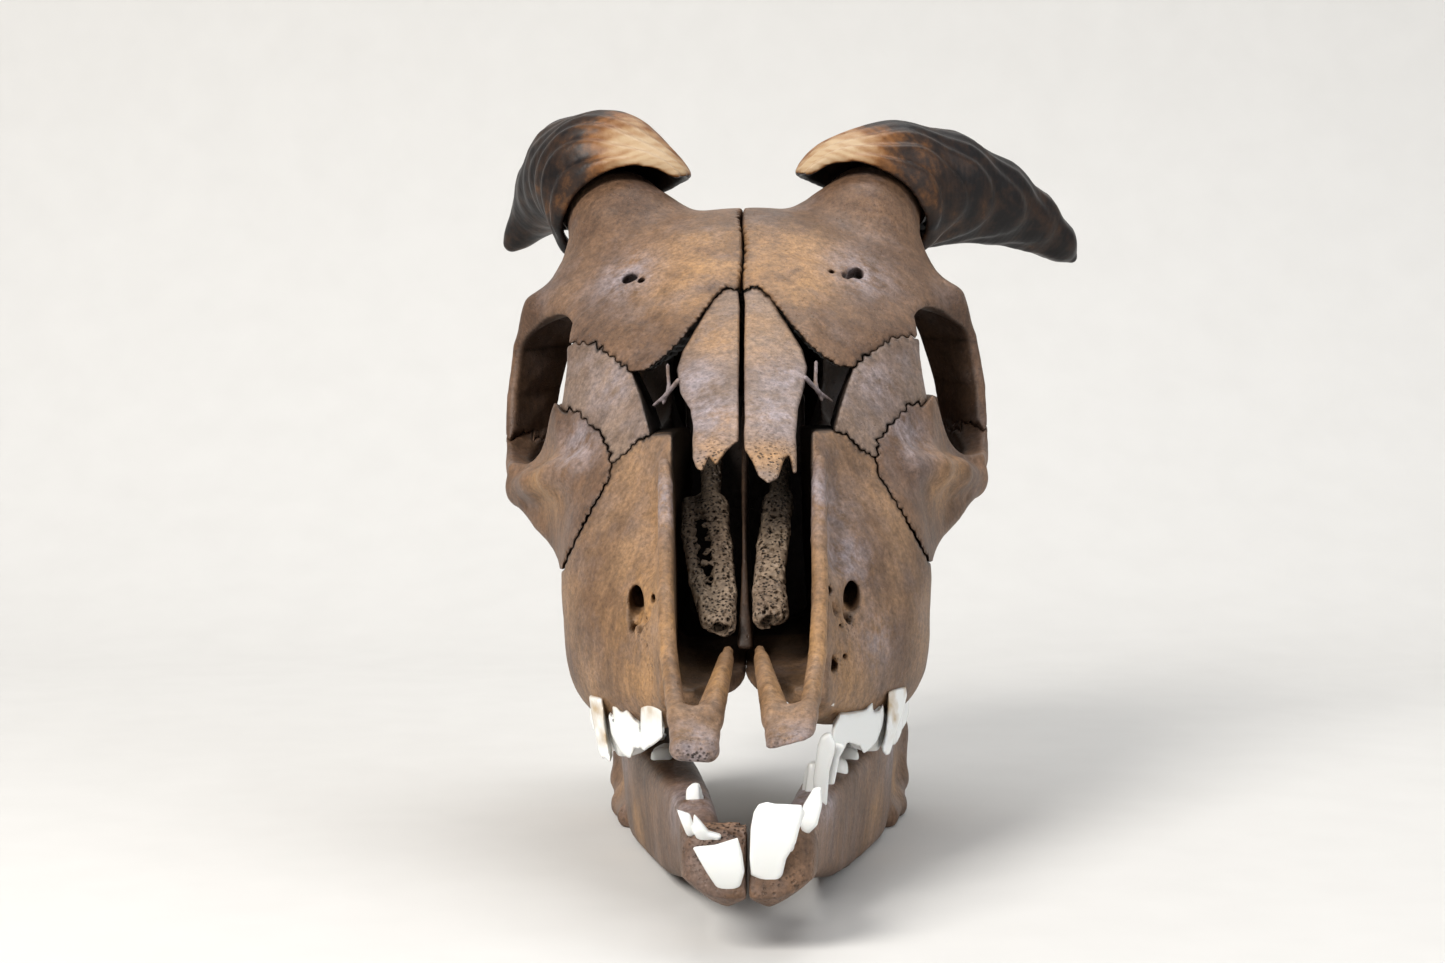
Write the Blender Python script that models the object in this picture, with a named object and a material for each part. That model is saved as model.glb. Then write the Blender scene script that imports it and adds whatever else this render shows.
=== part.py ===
"""A young goat's skull with its lower jaw and two loose horn sheaths, resting on the jaw.

Every bone is a formula for the distance to its surface, built from ellipsoids, bars and lofts that
follow guide lines along the skull. The formula is meshed with tetrahedra and then thinned out.
Millimetres throughout; the objects are scaled to metres at the end. +X is the animal's left,
+Y runs from the incisors to the back of the head, +Z is up, and Z = 0 is the table.
"""

from itertools import permutations, product

import bpy
import numpy as np

# Driving dimensions in millimetres.
SUTURE_GAP = 0.6
ORBIT_CENTRE = (39.0, 127.5, 93.0)
ORBIT_RADII = (25.0, 16.5, 16.2)
ORBIT_TURN = -27.0
ROOF_DEPTH = 7.0
# The brain's hollow, which shows through the large hole at the back.
BRAIN_CENTRE = (0.0, 164.0, 91.0)
BRAIN_RADII = (23.5, 31.0, 25.5)
CORONAL_Y = 167.0
PALATE_Z = 40.5
# Middle of the whole object's box, and its lowest point, in the numbers used below.
ORIGIN = (12.30, 103.34, 0.03)
MM = 0.001

# Guide lines of the face: the first number is the station along the skull (Y).
ROOF_LINE = ((40, 69), (52, 77), (66, 86.5), (80, 95.5), (95, 105), (107, 112.5), (120, 121.5),
             (130, 127.5), (140, 131.2), (150, 132.4), (160, 131), (170, 127), (180, 121))
ROOF_MARGIN = ((85, 16, 94), (95, 21, 98.5), (107, 31, 102.5), (116, 36, 105.5), (125, 39.5, 109.5),
               (133, 44, 111.5), (139, 47, 112.5), (144, 43, 116.5), (150, 38.5, 120.5),
               (158, 33, 121), (168, 29, 117), (180, 27, 108))
# Face loft: station, then shoulder, cheek, wall, belly and tooth-root points as X, Z.
FACE_GUIDES = (
    (30, 10, 60, 12.5, 50, 13.5, 45, 13.5, 41, 12, 37),
    (45, 11, 68, 14.8, 57, 16, 50, 16.5, 44, 15, 35.5),
    (60, 12, 78, 17, 66, 22, 57, 25, 47, 22.5, 33),
    (71, 13, 86, 20, 74, 28, 63, 32, 48.5, 27, 31.5),
    (82, 15, 93, 25.5, 80.5, 33, 69, 35.8, 50, 30.5, 31),
    (94, 20, 98.5, 31, 86.5, 35.5, 74, 36, 52, 32, 31.5),
    (104, 28.5, 101.5, 35.5, 91, 37.5, 76, 34.5, 54, 31, 33),
    (113, 35.5, 105, 38, 94, 37, 78, 31, 58, 27, 42),
    (122, 37, 107, 39, 95, 36, 78, 29, 60, 24, 46),
)


def curve(at, knots, values):
    """A smooth line through the values at the knots, held level past both ends."""
    knots = np.asarray(knots, float)
    values = np.asarray(values, float)
    at = np.clip(at, knots[0], knots[-1])
    slopes = np.gradient(values, knots)
    i = np.clip(np.searchsorted(knots, at) - 1, 0, len(knots) - 2)
    h = knots[i + 1] - knots[i]
    t = (at - knots[i]) / h
    return ((1 + 2 * t) * (1 - t) ** 2 * values[i] + t * (1 - t) ** 2 * h * slopes[i]
            + t * t * (3 - 2 * t) * values[i + 1] + t * t * (t - 1) * h * slopes[i + 1])


def guide(line, column, at):
    """One column of a guide table, read at a station."""
    return curve(at, [row[0] for row in line], [row[column] for row in line])


class Space:
    """A box of sample points; x, y and z broadcast against each other."""

    def __init__(self, low, high, step):
        self.low, self.step = np.array(low, float), step
        counts = [int(np.ceil((b - a) / step)) + 1 for a, b in zip(low, high)]
        x, y, z = (self.low[i] + step * np.arange(counts[i]) for i in range(3))
        self.x, self.y, self.z = x[:, None, None], y[None, :, None], z[None, None, :]
        self.shape = tuple(counts)


def join(a, b, blend=2.0):
    """Union with a fillet."""
    h = np.maximum(blend - np.abs(a - b), 0) / blend
    return np.minimum(a, b) - h * h * blend / 4


def keep(a, b, blend=1.0):
    """Intersection with a rounded edge."""
    return -join(-a, -b, blend)


def cut(a, b, blend=1.0):
    """a with b taken out, the edge rounded."""
    return -join(-a, b, blend)


def ball(s, centre, radii, turn=0.0, tilt=0.0):
    """An ellipsoid, turned about Z and then tilted about its own X, in degrees."""
    x, y, z = s.x - centre[0], s.y - centre[1], s.z - centre[2]
    c, d = np.cos(np.radians(turn)), np.sin(np.radians(turn))
    x, y = c * x + d * y, c * y - d * x
    c, d = np.cos(np.radians(tilt)), np.sin(np.radians(tilt))
    y, z = c * y + d * z, c * z - d * y
    a, b, e = radii
    near = np.sqrt((x / a) ** 2 + (y / b) ** 2 + (z / e) ** 2) + 1e-6
    slope = np.sqrt((x / a**2) ** 2 + (y / b**2) ** 2 + (z / e**2) ** 2) + 1e-6
    return near * (near - 1) / slope


def bar(s, points, blend=1.5, flat=None):
    """A chain of round bars: each point is X, Y, Z and radius. flat is (axis, factor) of a squeeze."""
    axes = [s.x, s.y, s.z]
    points = [np.array(p, float) for p in points]
    if flat:
        n, k = np.array(flat[0], float), flat[1] - 1
        n = n / np.linalg.norm(n)
        across = sum(n[i] * axes[i] for i in range(3))
        axes = [axes[i] + k * n[i] * across for i in range(3)]
        points = [np.append(p[:3] + k * n * (n @ p[:3]), p[3]) for p in points]
    found = None
    for a, b in zip(points[:-1], points[1:]):
        run = b[:3] - a[:3]
        d = [axes[i] - a[i] for i in range(3)]
        t = np.clip(sum(d[i] * run[i] for i in range(3)) / (run @ run), 0, 1)
        gap = np.sqrt(sum((d[i] - t * run[i]) ** 2 for i in range(3))) - (a[3] + t * (b[3] - a[3]))
        found = gap if found is None else join(found, gap, blend)
    return found


def triangle(s, a, b, c):
    """Distance to a flat triangle."""
    p = [s.x, s.y, s.z]
    corners = [np.array(v, float) for v in (a, b, c)]
    normal = np.cross(corners[1] - corners[0], corners[2] - corners[1])
    over = sum(normal[i] * (p[i] - corners[0][i]) for i in range(3)) / (np.linalg.norm(normal) + 1e-9)
    sides, edges = 0, None
    for k in range(3):
        start, run = corners[k], corners[(k + 1) % 3] - corners[k]
        d = [p[i] - start[i] for i in range(3)]
        wall = np.cross(run, normal)
        sides = sides + (sum(wall[i] * d[i] for i in range(3)) < 0)
        t = np.clip(sum(d[i] * run[i] for i in range(3)) / (run @ run), 0, 1)
        gap = sum((d[i] - t * run[i]) ** 2 for i in range(3))
        edges = gap if edges is None else np.minimum(edges, gap)
    return np.where(sides == 3, np.abs(over), np.sqrt(edges))


def sheet(s, edge_a, edge_b, radius):
    """A plate of even thickness stretched between two edges with the same number of points."""
    found = None
    for k in range(len(edge_a) - 1):
        for tri in ((edge_a[k], edge_a[k + 1], edge_b[k]), (edge_b[k], edge_a[k + 1], edge_b[k + 1])):
            gap = triangle(s, *tri)
            found = gap if found is None else np.minimum(found, gap)
    return found - radius


def face(s):
    """The outer form of the muzzle and cheeks, lofted through the face guides."""
    y = s.y.ravel()
    x = np.abs(s.x[:, 0, 0])[:, None]
    z = s.z[0, 0, :][None, :]
    field = np.empty(s.shape, np.float32)
    angles = np.linspace(0, np.pi, 121)
    for j, station in enumerate(y):
        at = min(max(station, FACE_GUIDES[0][0]), FACE_GUIDES[-1][0])
        roof = float(guide(ROOF_LINE, 1, at))
        points = [(0.0, roof)] + [
            (float(guide(FACE_GUIDES, c, at)), float(guide(FACE_GUIDES, c + 1, at))) for c in (1, 3, 5, 7, 9)]
        middle = 0.5 * (points[2][1] + points[3][1]) - 4
        points += [(0.0, PALATE_Z)]
        turn = [np.arctan2(px, pz - middle) for px, pz in points]
        reach = [np.hypot(px, pz - middle) for px, pz in points]
        radius = curve(angles, turn, reach)
        here = np.interp(np.arctan2(x, z - middle), angles, radius)
        field[:, j, :] = (np.hypot(x, z - middle) - here) * 0.9
    over = np.maximum(s.y - FACE_GUIDES[-1][0], FACE_GUIDES[0][0] - s.y)
    return keep(field, over, 2)


def roof_height(s):
    """Distance above the forehead's surface, which falls away to its side margin."""
    ax = np.abs(s.x)
    top = guide(ROOF_LINE, 1, s.y.ravel())[None, :, None]
    width = guide(ROOF_MARGIN, 1, s.y.ravel())[None, :, None]
    low = guide(ROOF_MARGIN, 2, s.y.ravel())[None, :, None]
    return (s.z - top + (top - low) * (ax / width) ** 2.2) * 0.8


def roof_side(s):
    """Distance outside the forehead's outline, seen from above."""
    width = guide(ROOF_MARGIN, 1, s.y.ravel())[None, :, None]
    return (np.abs(s.x) - width) * 0.9


def orbit(s):
    """The eye socket's hollow, which opens outwards and a little forwards."""
    return ball(Mirror(s), ORBIT_CENTRE, ORBIT_RADII, turn=ORBIT_TURN)


class Mirror:
    """The same box with both sides folded onto +X."""

    def __init__(self, s):
        self.x, self.y, self.z, self.shape = np.abs(s.x), s.y, s.z, s.shape


def tetra_mesh(field, low, step):
    """Triangles where the field crosses zero, one cube at a time as six tetrahedra."""
    field = np.where(np.abs(field) < 1e-3 * step, 1e-3 * step, field).astype(np.float64)
    field[0], field[-1] = step, step
    field[:, 0], field[:, -1] = step, step
    field[:, :, 0], field[:, :, -1] = step, step
    inside = field < 0
    count = np.zeros([n - 1 for n in field.shape], np.int8)
    for i, j, k in product((0, 1), repeat=3):
        count += inside[i:count.shape[0] + i, j:count.shape[1] + j, k:count.shape[2] + k]
    cells = np.argwhere((count > 0) & (count < 8))
    strides = np.array([field.shape[1] * field.shape[2], field.shape[2], 1])
    base = cells @ strides
    flat = field.ravel()
    edges = []
    for order in permutations(range(3)):
        corner = [base]
        for axis in order:
            corner.append(corner[-1] + strides[axis])
        corner = np.stack(corner, 1)
        below = flat[corner] < 0
        for pattern in range(1, 15):
            bits = [(pattern >> b) & 1 for b in range(4)]
            rows = np.all(below == np.array(bits, bool), axis=1)
            if not rows.any():
                continue
            c = corner[rows]
            ins = [b for b in range(4) if bits[b]]
            outs = [b for b in range(4) if not bits[b]]
            if len(ins) == 2:
                (a, b), (e, f) = ins, outs
                quad = ((a, e), (a, f), (b, f), (b, e))
                tris = ((quad[0], quad[1], quad[2]), (quad[0], quad[2], quad[3]))
            elif len(ins) == 1:
                tris = (tuple((ins[0], o) for o in outs),)
            else:
                tris = (tuple((i, outs[0]) for i in ins),)
            for tri in tris:
                edges.append(np.stack([np.stack([c[:, p], c[:, q]], 1) for p, q in tri], 1))
    edges = np.concatenate(edges)
    keys, index = np.unique(edges.reshape(-1, 2), axis=0, return_inverse=True)
    faces = index.reshape(-1, 3)
    va, vb = flat[keys[:, 0]], flat[keys[:, 1]]
    t = np.clip(va / (va - vb), 0.03, 0.97)[:, None]

    def place(i):
        return np.stack(np.unravel_index(i, field.shape), 1) * step + low

    points = place(keys[:, 0]) * (1 - t) + place(keys[:, 1]) * t
    outward = place(keys[:, 1]) - place(keys[:, 0])
    p = points[faces]
    normal = np.cross(p[:, 1] - p[:, 0], p[:, 2] - p[:, 0])
    wrong = np.einsum("ij,ij->i", normal, outward[faces].sum(1)) < 0
    faces[wrong] = faces[wrong][:, ::-1]
    return np.round(points, 4), faces


def outline(s, points, view="front"):
    """Distance to a closed outline, in X and Z seen from the front or in Y and Z seen from the side."""
    u = s.x[:, :1, 0] if view == "front" else s.y[0]
    w = s.z[0, 0][None, :]
    found = np.full((u.shape[0], w.shape[1]), 1e6)
    inside = np.zeros(found.shape, bool)
    for (au, aw), (bu, bw) in zip(points, list(points[1:]) + [points[0]]):
        eu, ew = bu - au, bw - aw
        t = np.clip(((u - au) * eu + (w - aw) * ew) / (eu * eu + ew * ew + 1e-9), 0, 1)
        found = np.minimum(found, np.hypot(u - au - t * eu, w - aw - t * ew))
        between = (aw > w) != (bw > w)
        inside ^= between & (u < (bu - au) * (w - aw) / (bw - aw + 1e-12) + au)
    field = np.where(inside, -found, found)
    return field[:, None, :] if view == "front" else field[None]


# Seams between the face bones on one side, as X and Z seen from the front.
SEAM_NASAL_FRONTAL = ((0, 113), (3.2, 114.2), (6, 111.4), (9.5, 106.6))
SEAM_LACRIMAL_FRONTAL = ((22, 97), (27.5, 101.3), (31, 103), (36.5, 103.2))
SEAM_LACRIMAL_MAXILLA = ((17.6, 85.2), (20.5, 83.9), (22.5, 81.6), (25.6, 79.6))
SEAM_LACRIMAL_ZYGOMATIC = ((25.6, 79.6), (27.2, 84.4), (30, 86.7), (33.6, 89.6), (37, 89.4))
SEAM_ZYGOMATIC_MAXILLA = ((25.6, 79.6), (26.1, 76.5), (29.6, 70.5), (33, 64.5), (36, 58.5))
FISSURE_FRONTAL = ((9.5, 106.6), (12.5, 102.8), (16, 99.6), (19, 97.6), (22, 97))

FRONTAL_OUTLINE = (SEAM_NASAL_FRONTAL + FISSURE_FRONTAL[1:] + SEAM_LACRIMAL_FRONTAL[1:]
                   + ((70, 100), (70, 200), (0, 200)))
LACRIMAL_OUTLINE = (SEAM_LACRIMAL_FRONTAL + ((46, 104), (46, 89)) + SEAM_LACRIMAL_ZYGOMATIC[::-1]
                    + SEAM_LACRIMAL_MAXILLA[-2::-1] + ((19.5, 91),))
ZYGOMATIC_OUTLINE = (SEAM_LACRIMAL_ZYGOMATIC + ((41, 94), (60, 94), (60, 57), (42, 57))
                     + SEAM_ZYGOMATIC_MAXILLA[:0:-1])
MAXILLA_OUTLINE = (SEAM_LACRIMAL_MAXILLA + SEAM_ZYGOMATIC_MAXILLA[1:]
                   + ((42, 57), (60, 57), (60, 20), (0, 20), (0, 86)))
# The nasals end in ragged tips, and the left one is longer.
NASAL_TOP = ((0, 113), (3.2, 114.2), (6, 111.4), (9.5, 105.6), (12, 101), (12.9, 97.5), (12, 93))
NASAL_LONG = NASAL_TOP + (
    (10.8, 89.7), (10.2, 84.4), (10.3, 78.2), (9.5, 78), (9, 81.2), (8.2, 81), (6.8, 77.4), (4.9, 76.5),
    (3.1, 77.8), (2, 80.4), (0.7, 82.3), (0, 82.6))
NASAL_SHORT = NASAL_TOP + (
    (10, 90), (9.3, 87), (9.1, 81.2), (8.2, 79.2), (7.2, 78.9), (6, 81.4), (4.7, 79.8), (2.7, 82.4), (1.2, 83.6),
    (0, 84))
BAR_OUTER = ((45.6, 139, 111.6), (49, 141.5, 103), (50.6, 140, 92), (50.6, 136, 83), (49.2, 129, 76.5))
BAR_INNER = ((37.5, 146, 111), (40, 150, 104), (43, 152, 94), (44.5, 149, 85), (45.5, 143, 78.5))
BAR_SEAM_Z = 83.5


def within(body, s, points, blend=0.6):
    """The part of a body inside its outline, with half of the gap at the seam left out."""
    return keep(body, outline(s, points) + SUTURE_GAP / 2, blend)


def halved(body, s, gap, blend=0.5):
    """The +X part of a body, with half of the gap at the midline left out."""
    return keep(body, gap / 2 - s.x, blend)


def cavity(s):
    """The nasal cavity, open in front and on top between the maxillae."""
    side = s.x - curve(s.y, (40, 60, 90, 112, 124), (12.2, 12.8, 13.4, 12, 9))
    low = curve(s.y, (40, 60, 80, 120), (40.5, 42.2, 44.4, 46.5)) - s.z
    back = s.y - 122
    roof = s.z - curve(s.y, (84, 92, 108, 124), (130, 101, 96, 92)) + 0.1 * np.abs(s.x)
    return keep(keep(keep(side, low, 3), back, 6), roof, 4)


def fissure_pocket(s):
    """The hollow that shows between the nasal, frontal and lacrimal bones."""
    return bar(s, ((10.5, 112, 101, 3.4), (16.5, 108, 96, 4.2), (19, 102, 92, 3.2)), 3)


def horn_core(s, grow=0.0):
    points = ((25.5, 150, 117, 14), (26, 154, 126.5, 12.4), (28.5, 160, 131, 10.4), (33, 168, 134.5, 8.4),
              (38, 176, 136.5, 6), (42, 182, 136, 3.2))
    return bar(s, [(x, y, z, r + grow) for x, y, z, r in points], 3)


def postorbital_bar(s):
    return sheet(s, BAR_OUTER, BAR_INNER, 1.5)


def frontal(s):
    height, side = roof_height(s), roof_side(s)
    shell = keep(keep(height, side, 3), -height - ROOF_DEPTH * 0.8, 2)
    shell = keep(shell, s.y - CORONAL_Y, 1.5)
    core = keep(ball(s, (8, 122, 98), (9.5, 34, 20)), height, 1)
    skin = keep(keep(face(s), s.y - 118, 3), height, 1)
    body = join(join(shell, core, 4), keep(skin, 84 - s.z, 1), 2)
    body = within(body, s, FRONTAL_OUTLINE)
    process = keep(postorbital_bar(s), BAR_SEAM_Z + SUTURE_GAP / 2 - s.z, 0.6)
    body = cut(body, orbit(s), 1.5)
    body = join(body, process, 4)
    body = join(body, keep(horn_core(s), -height - 9 * 0.8, 2), 7)
    body = cut(body, bar(s, ((23.7, 115, 120, 1.6), (23.5, 123, 115.4, 1.6), (22, 130, 110, 1.2)), 1), 0.8)
    body = cut(cut(body, cavity(s), 1), fissure_pocket(s), 1.5)
    return halved(body, s, 0.7)


def nasal(s, points):
    top = guide(ROOF_LINE, 1, s.y.ravel())[None, :, None]
    arch = (s.z - top + 3.0 * (np.abs(s.x - 0.5) / 12.5) ** 2.2 - 0.5) * 0.84
    sheet = keep(arch, -arch - 2.3, 0.8)
    sheet = within(sheet, s, points, 0.8)
    return halved(sheet, s, 1.1, 0.6)


def lacrimal(s):
    body = within(keep(face(s), s.y - 124, 2), s, LACRIMAL_OUTLINE)
    body = cut(body, orbit(s), 1.2)
    return cut(cut(body, cavity(s), 0.8), fissure_pocket(s), 1)


def zygomatic(s):
    body = within(face(s), s, ZYGOMATIC_OUTLINE)
    rim = ((36.5, 108, 89.4), (39.5, 113, 84.5), (43.6, 120.5, 80), (47.8, 129, 76.8))
    low = ((33.5, 92, 60), (37.6, 101, 63), (42.4, 111, 66.5), (47.4, 123, 71.8))
    wing = sheet(s, rim, low, 2.0)
    crest = ((33.4, 91, 77, 2.4), (38.6, 97.5, 76.4, 2.4), (43.6, 108, 75, 2.3), (48, 121, 73.4, 1.9))
    ridge = bar(s, crest, 3)
    wing = within(join(wing, ridge, 5), s, ZYGOMATIC_OUTLINE)
    upright = keep(postorbital_bar(s), s.z - BAR_SEAM_Z + SUTURE_GAP / 2, 0.6)
    arch = sheet(s, ((48.4, 122, 77), (49.6, 136, 79), (48.2, 153, 83)),
                 ((47.6, 123, 72), (49.2, 137, 74.5), (48, 153, 78)), 1.8)
    body = join(join(join(body, wing, 5), arch, 3), upright, 2.5)
    body = within(body, s, ZYGOMATIC_OUTLINE)
    body = cut(body, orbit(s), 1.2)
    return keep(cut(body, cavity(s), 0.8), s.y - 152, 0.8)


# Upper cheek teeth from front to back: centre X, Y, half width, half length and crown tip Z.
UPPER_TEETH = ((16.2, 51.5, 2.4, 3.3, 27.2), (19, 59, 3.2, 3.7, 25.4), (22.4, 67.5, 3.8, 4.2, 24.6),
               (25.8, 77.5, 4.2, 5.6, 24.2), (27.4, 89.8, 4.4, 6.0, 25.0), (27.2, 102.5, 4.2, 5.8, 26.6))
# Lower cheek teeth in the same order.
LOWER_TEETH = ((10.6, 43.5, 1.7, 2.6, 27.4), (11.6, 50, 2.0, 3.0, 25.8), (13.2, 57.8, 2.4, 3.8, 24.8),
               (15.8, 67.8, 2.6, 4.8, 24.0), (18.0, 79.5, 2.8, 5.6, 24.2), (20.0, 92.5, 2.8, 6.2, 25.2))
STANDING_OUT = (12.6, 42.8, 1.8, 2.2, 30.6)
FALLEN_DROP = 4.4
MISSING = (1, 2, 3)


def cheek_tooth(s, size, root_z, up=-1, seed=0):
    """A high tooth with pointed outer cusps and lower inner ones. up is -1 for a tooth of the upper jaw."""
    x, y, width, length, tip = size
    lift = np.random.default_rng(seed).uniform(-0.5, 0.5, 4)
    tooth = None
    for i, (out, along) in enumerate(((0.5, -0.5), (0.5, 0.5), (-0.5, -0.42), (-0.5, 0.42))):
        height = tip - up * (0 if out * -up > 0 else 1.2) - up * lift[i]
        px, py = x + out * width, y + along * length
        lean = 0.4 * along
        cusp = bar(s, ((px, py, root_z, 0.46 * width), (px, py, tip - up * 3.0, 0.5 * width),
                       (px - 0.2 * np.sign(out), py + lean, height - up * 0.5, 0.5)), 0.5)
        tooth = cusp if tooth is None else join(tooth, cusp, 1.1)
    return tooth


def upper_teeth(s):
    rows = [cheek_tooth(s, size, 38.0, seed=i) for i, size in enumerate(UPPER_TEETH)]
    return np.minimum.reduce([np.broadcast_to(r, s.shape) for r in rows])


def premaxilla(s):
    outer = ((10.9, 17, 38.6, 1.7), (11.8, 24, 40.6, 1.7), (13.2, 35, 47, 1.6), (14, 44.5, 57, 1.5),
             (14.1, 53, 66, 1.5), (14.4, 61.5, 76, 1.4), (14.6, 64.5, 80, 1.1))
    inner = ((5.3, 17, 38.4, 1.9), (4.6, 24, 41.2, 2.0), (3.6, 34, 44.2, 1.6), (2.9, 44, 46.6, 1.2))
    nasal_process = bar(s, outer, 2)
    palate_process = bar(s, inner, 2, flat=((1, 0, 0), 1.25))
    inner_edge = ((5.6, 10.8, 34.2), (5.2, 14, 36.2), (5.4, 18.4, 38.8))
    outer_edge = ((10.6, 10.8, 34.6), (11.0, 14, 36.8), (11.0, 18.4, 39.4))
    body = sheet(s, inner_edge, outer_edge, 1.5)
    tip = bar(s, ((5.9, 10.6, 33.9, 1.7), (10.2, 10.6, 34.3, 1.7)))
    body = join(body, tip, 1.5)
    body = join(join(body, nasal_process, 1.5), palate_process, 1.5)
    body = cut(body, bar(s, ((8.1, 19.6, 42, 0.7), (8.2, 25, 42.6, 1.7)), 1), 0.8)
    return halved(body, s, 1.4)


def maxilla_bone(s):
    body = within(face(s), s, MAXILLA_OUTLINE, 0.8)
    front = curve(s.z, (35, 39, 45, 52, 62, 72, 80, 88), (45, 40, 38.5, 43.5, 51.5, 59.5, 66, 70)) - s.y
    body = keep(body, front, 1.2)
    body = cut(body, cavity(s), 1)
    gutter = s.x - curve(s.y, (40, 70, 100, 114), (11, 16, 22, 20)) + 0.5 * (PALATE_Z - s.z)
    under = s.z - curve(s.y, (40, 60, 80, 120), (37.2, 38.6, 40.5, 41.5))
    body = cut(body, keep(gutter, under, 4), 1.5)
    body = cut(body, s.y - 40 - 16 * np.clip(1 - s.x / 9, 0, 1) + 3 * np.clip(s.z - 46, 0, 30), 2)
    hole = bar(s, ((20.3, 52, 54, 1.7), (19.4, 64, 56, 1.6), (18.6, 72, 59, 1.2)), 1, flat=((0, 0, 1), 0.65))
    body = cut(body, hole, 1.2)
    body = keep(body, SUTURE_GAP - premaxilla(s), 0.4)
    body = keep(body, s.y - curve(s.z, (30, 45, 60), (110, 112, 116)), 1.5)
    return halved(body, s, 0.8)


def maxilla(s):
    return join(maxilla_bone(s), upper_teeth(s), 0.8)


def palatine(s):
    """The rear of the hard palate with the walls of the inner nostrils and the hooked wings behind."""
    m = Mirror(s)
    floor = keep(keep(np.abs(s.z - 43.3) - 1.3, m.x - 11.5, 2), np.abs(s.y - 119.6) - 4, 2)
    floor = keep(floor, -bar(s, ((0, 126, 43.3, 4.5), (0, 130, 43.3, 4.5)), 1), 1)
    walls = sheet(m, ((12.0, 117, 44), (12.5, 120, 56), (13, 122, 70)),
                  ((10.5, 139, 47), (10.5, 141, 54), (10.5, 143, 61)), 1.3)
    hook = bar(m, ((10.5, 138, 50, 1.4), (11, 142, 44.5, 1.2), (11.8, 145.5, 40, 0.9)), 1)
    wall = keep(keep(np.abs(s.y - 119) - 1.4, m.x - 12.5, 1), np.maximum(43.5 - s.z, s.z - 71), 1)
    return join(join(join(np.broadcast_to(floor, s.shape), walls, 3), hook, 2), wall, 1.5)


def braincase_form(s):
    m = Mirror(s)
    vault = ball(s, (0, 165, 93), (28.5, 37, 33), tilt=4)
    rear = ball(s, (0, 178, 92), (26, 20, 27))
    crest = bar(m, ((0, 192.5, 108, 2.4), (12, 190, 107, 2.3), (22, 184, 101, 2.2), (28, 178, 92, 2.0),
                    (29, 174, 82, 1.8)), 3)
    keel = ((0, 196, 62, 6.5), (0, 178, 61, 7), (0, 158, 63, 7.5), (0, 134, 68, 7.5), (0, 120, 76, 7))
    base = bar(s, keel, 5, flat=((0, 0, 1), 1.35))
    wing = bar(m, ((14, 150, 76, 9), (14, 134, 80, 7)), 6)
    root = bar(m, ((22, 166, 86, 7), (32, 163.5, 87, 5), (40, 163, 86.5, 3.6)), 4)
    arch = sheet(m, ((39, 168, 88), (45, 161, 86.5), (48.2, 154, 83.4)),
                 ((38, 166, 82.4), (45, 160, 80.5), (48, 154, 78.6)), 1.8)
    bulla = ball(m, (17, 174, 59), (6.6, 9.5, 8), turn=18)
    ear = bar(m, ((22, 174, 68, 6), (29.5, 171.5, 70, 3.6)), 3)
    prong = bar(m, ((22, 189, 76, 5), (22.5, 190, 64, 3.6), (21, 188, 51, 2.2), (20.5, 186.5, 42, 1.0)), 3,
                flat=((1, 0, 0), 1.5))
    condyle = ball(m, (11.4, 198, 68.5), (5.6, 7.5, 9), turn=25)
    body = join(join(vault, rear, 8), crest, 7)
    body = join(join(body, base, 6), wing, 8)
    body = keep(join(join(body, root, 6), arch, 3), np.minimum(152.6 - s.y, m.x - 36), 0.8)
    body = join(join(body, bulla, 3), ear, 3)
    body = join(join(body, prong, 4), condyle, 4)
    body = cut(body, ball(s, BRAIN_CENTRE, BRAIN_RADII), 2)
    body = cut(body, bar(s, ((0, 212, 74, 8.4), (0, 186, 77, 8.2)), 1, flat=((1, 0, 0), 0.94)), 1.5)
    body = cut(body, bar(m, ((36, 171, 70, 2.2), (26, 172, 69.5, 2.0)), 1), 1)
    return body


def braincase(s):
    m = Mirror(s)
    body = cut(braincase_form(s), orbit(s), 1.5)
    body = keep(body, SUTURE_GAP - frontal_pair(m), 0.4)
    body = keep(body, SUTURE_GAP - palatine(s), 0.4)
    body = cut(body, cavity(m), 1)
    body = cut(body, bar(m, ((30, 140, 80, 4.8), (30, 150, 92, 4.8), (30, 152, 106, 4.8)), 3), 2)
    socket = ball(m, (30, 158.4, 77.6), (14, 6.2, 5.4))
    return cut(body, socket, 0.8)


def frontal_pair(m):
    """The frontals without the gap between them, to be taken out of what lies behind."""
    height, side = roof_height(m), roof_side(m)
    shell = keep(keep(height, side, 3), -height - ROOF_DEPTH * 0.8, 2)
    shell = keep(shell, m.y - CORONAL_Y, 1.5)
    core = keep(ball(m, (8, 122, 98), (9.5, 34, 20)), height, 1)
    body = join(shell, core, 4)
    body = join(body, keep(postorbital_bar(m), BAR_SEAM_Z - m.z, 0.6), 4)
    return join(np.minimum(body, keep(10 - m.x, np.minimum(body, 50), 1)), horn_core(m), 7)


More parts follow.
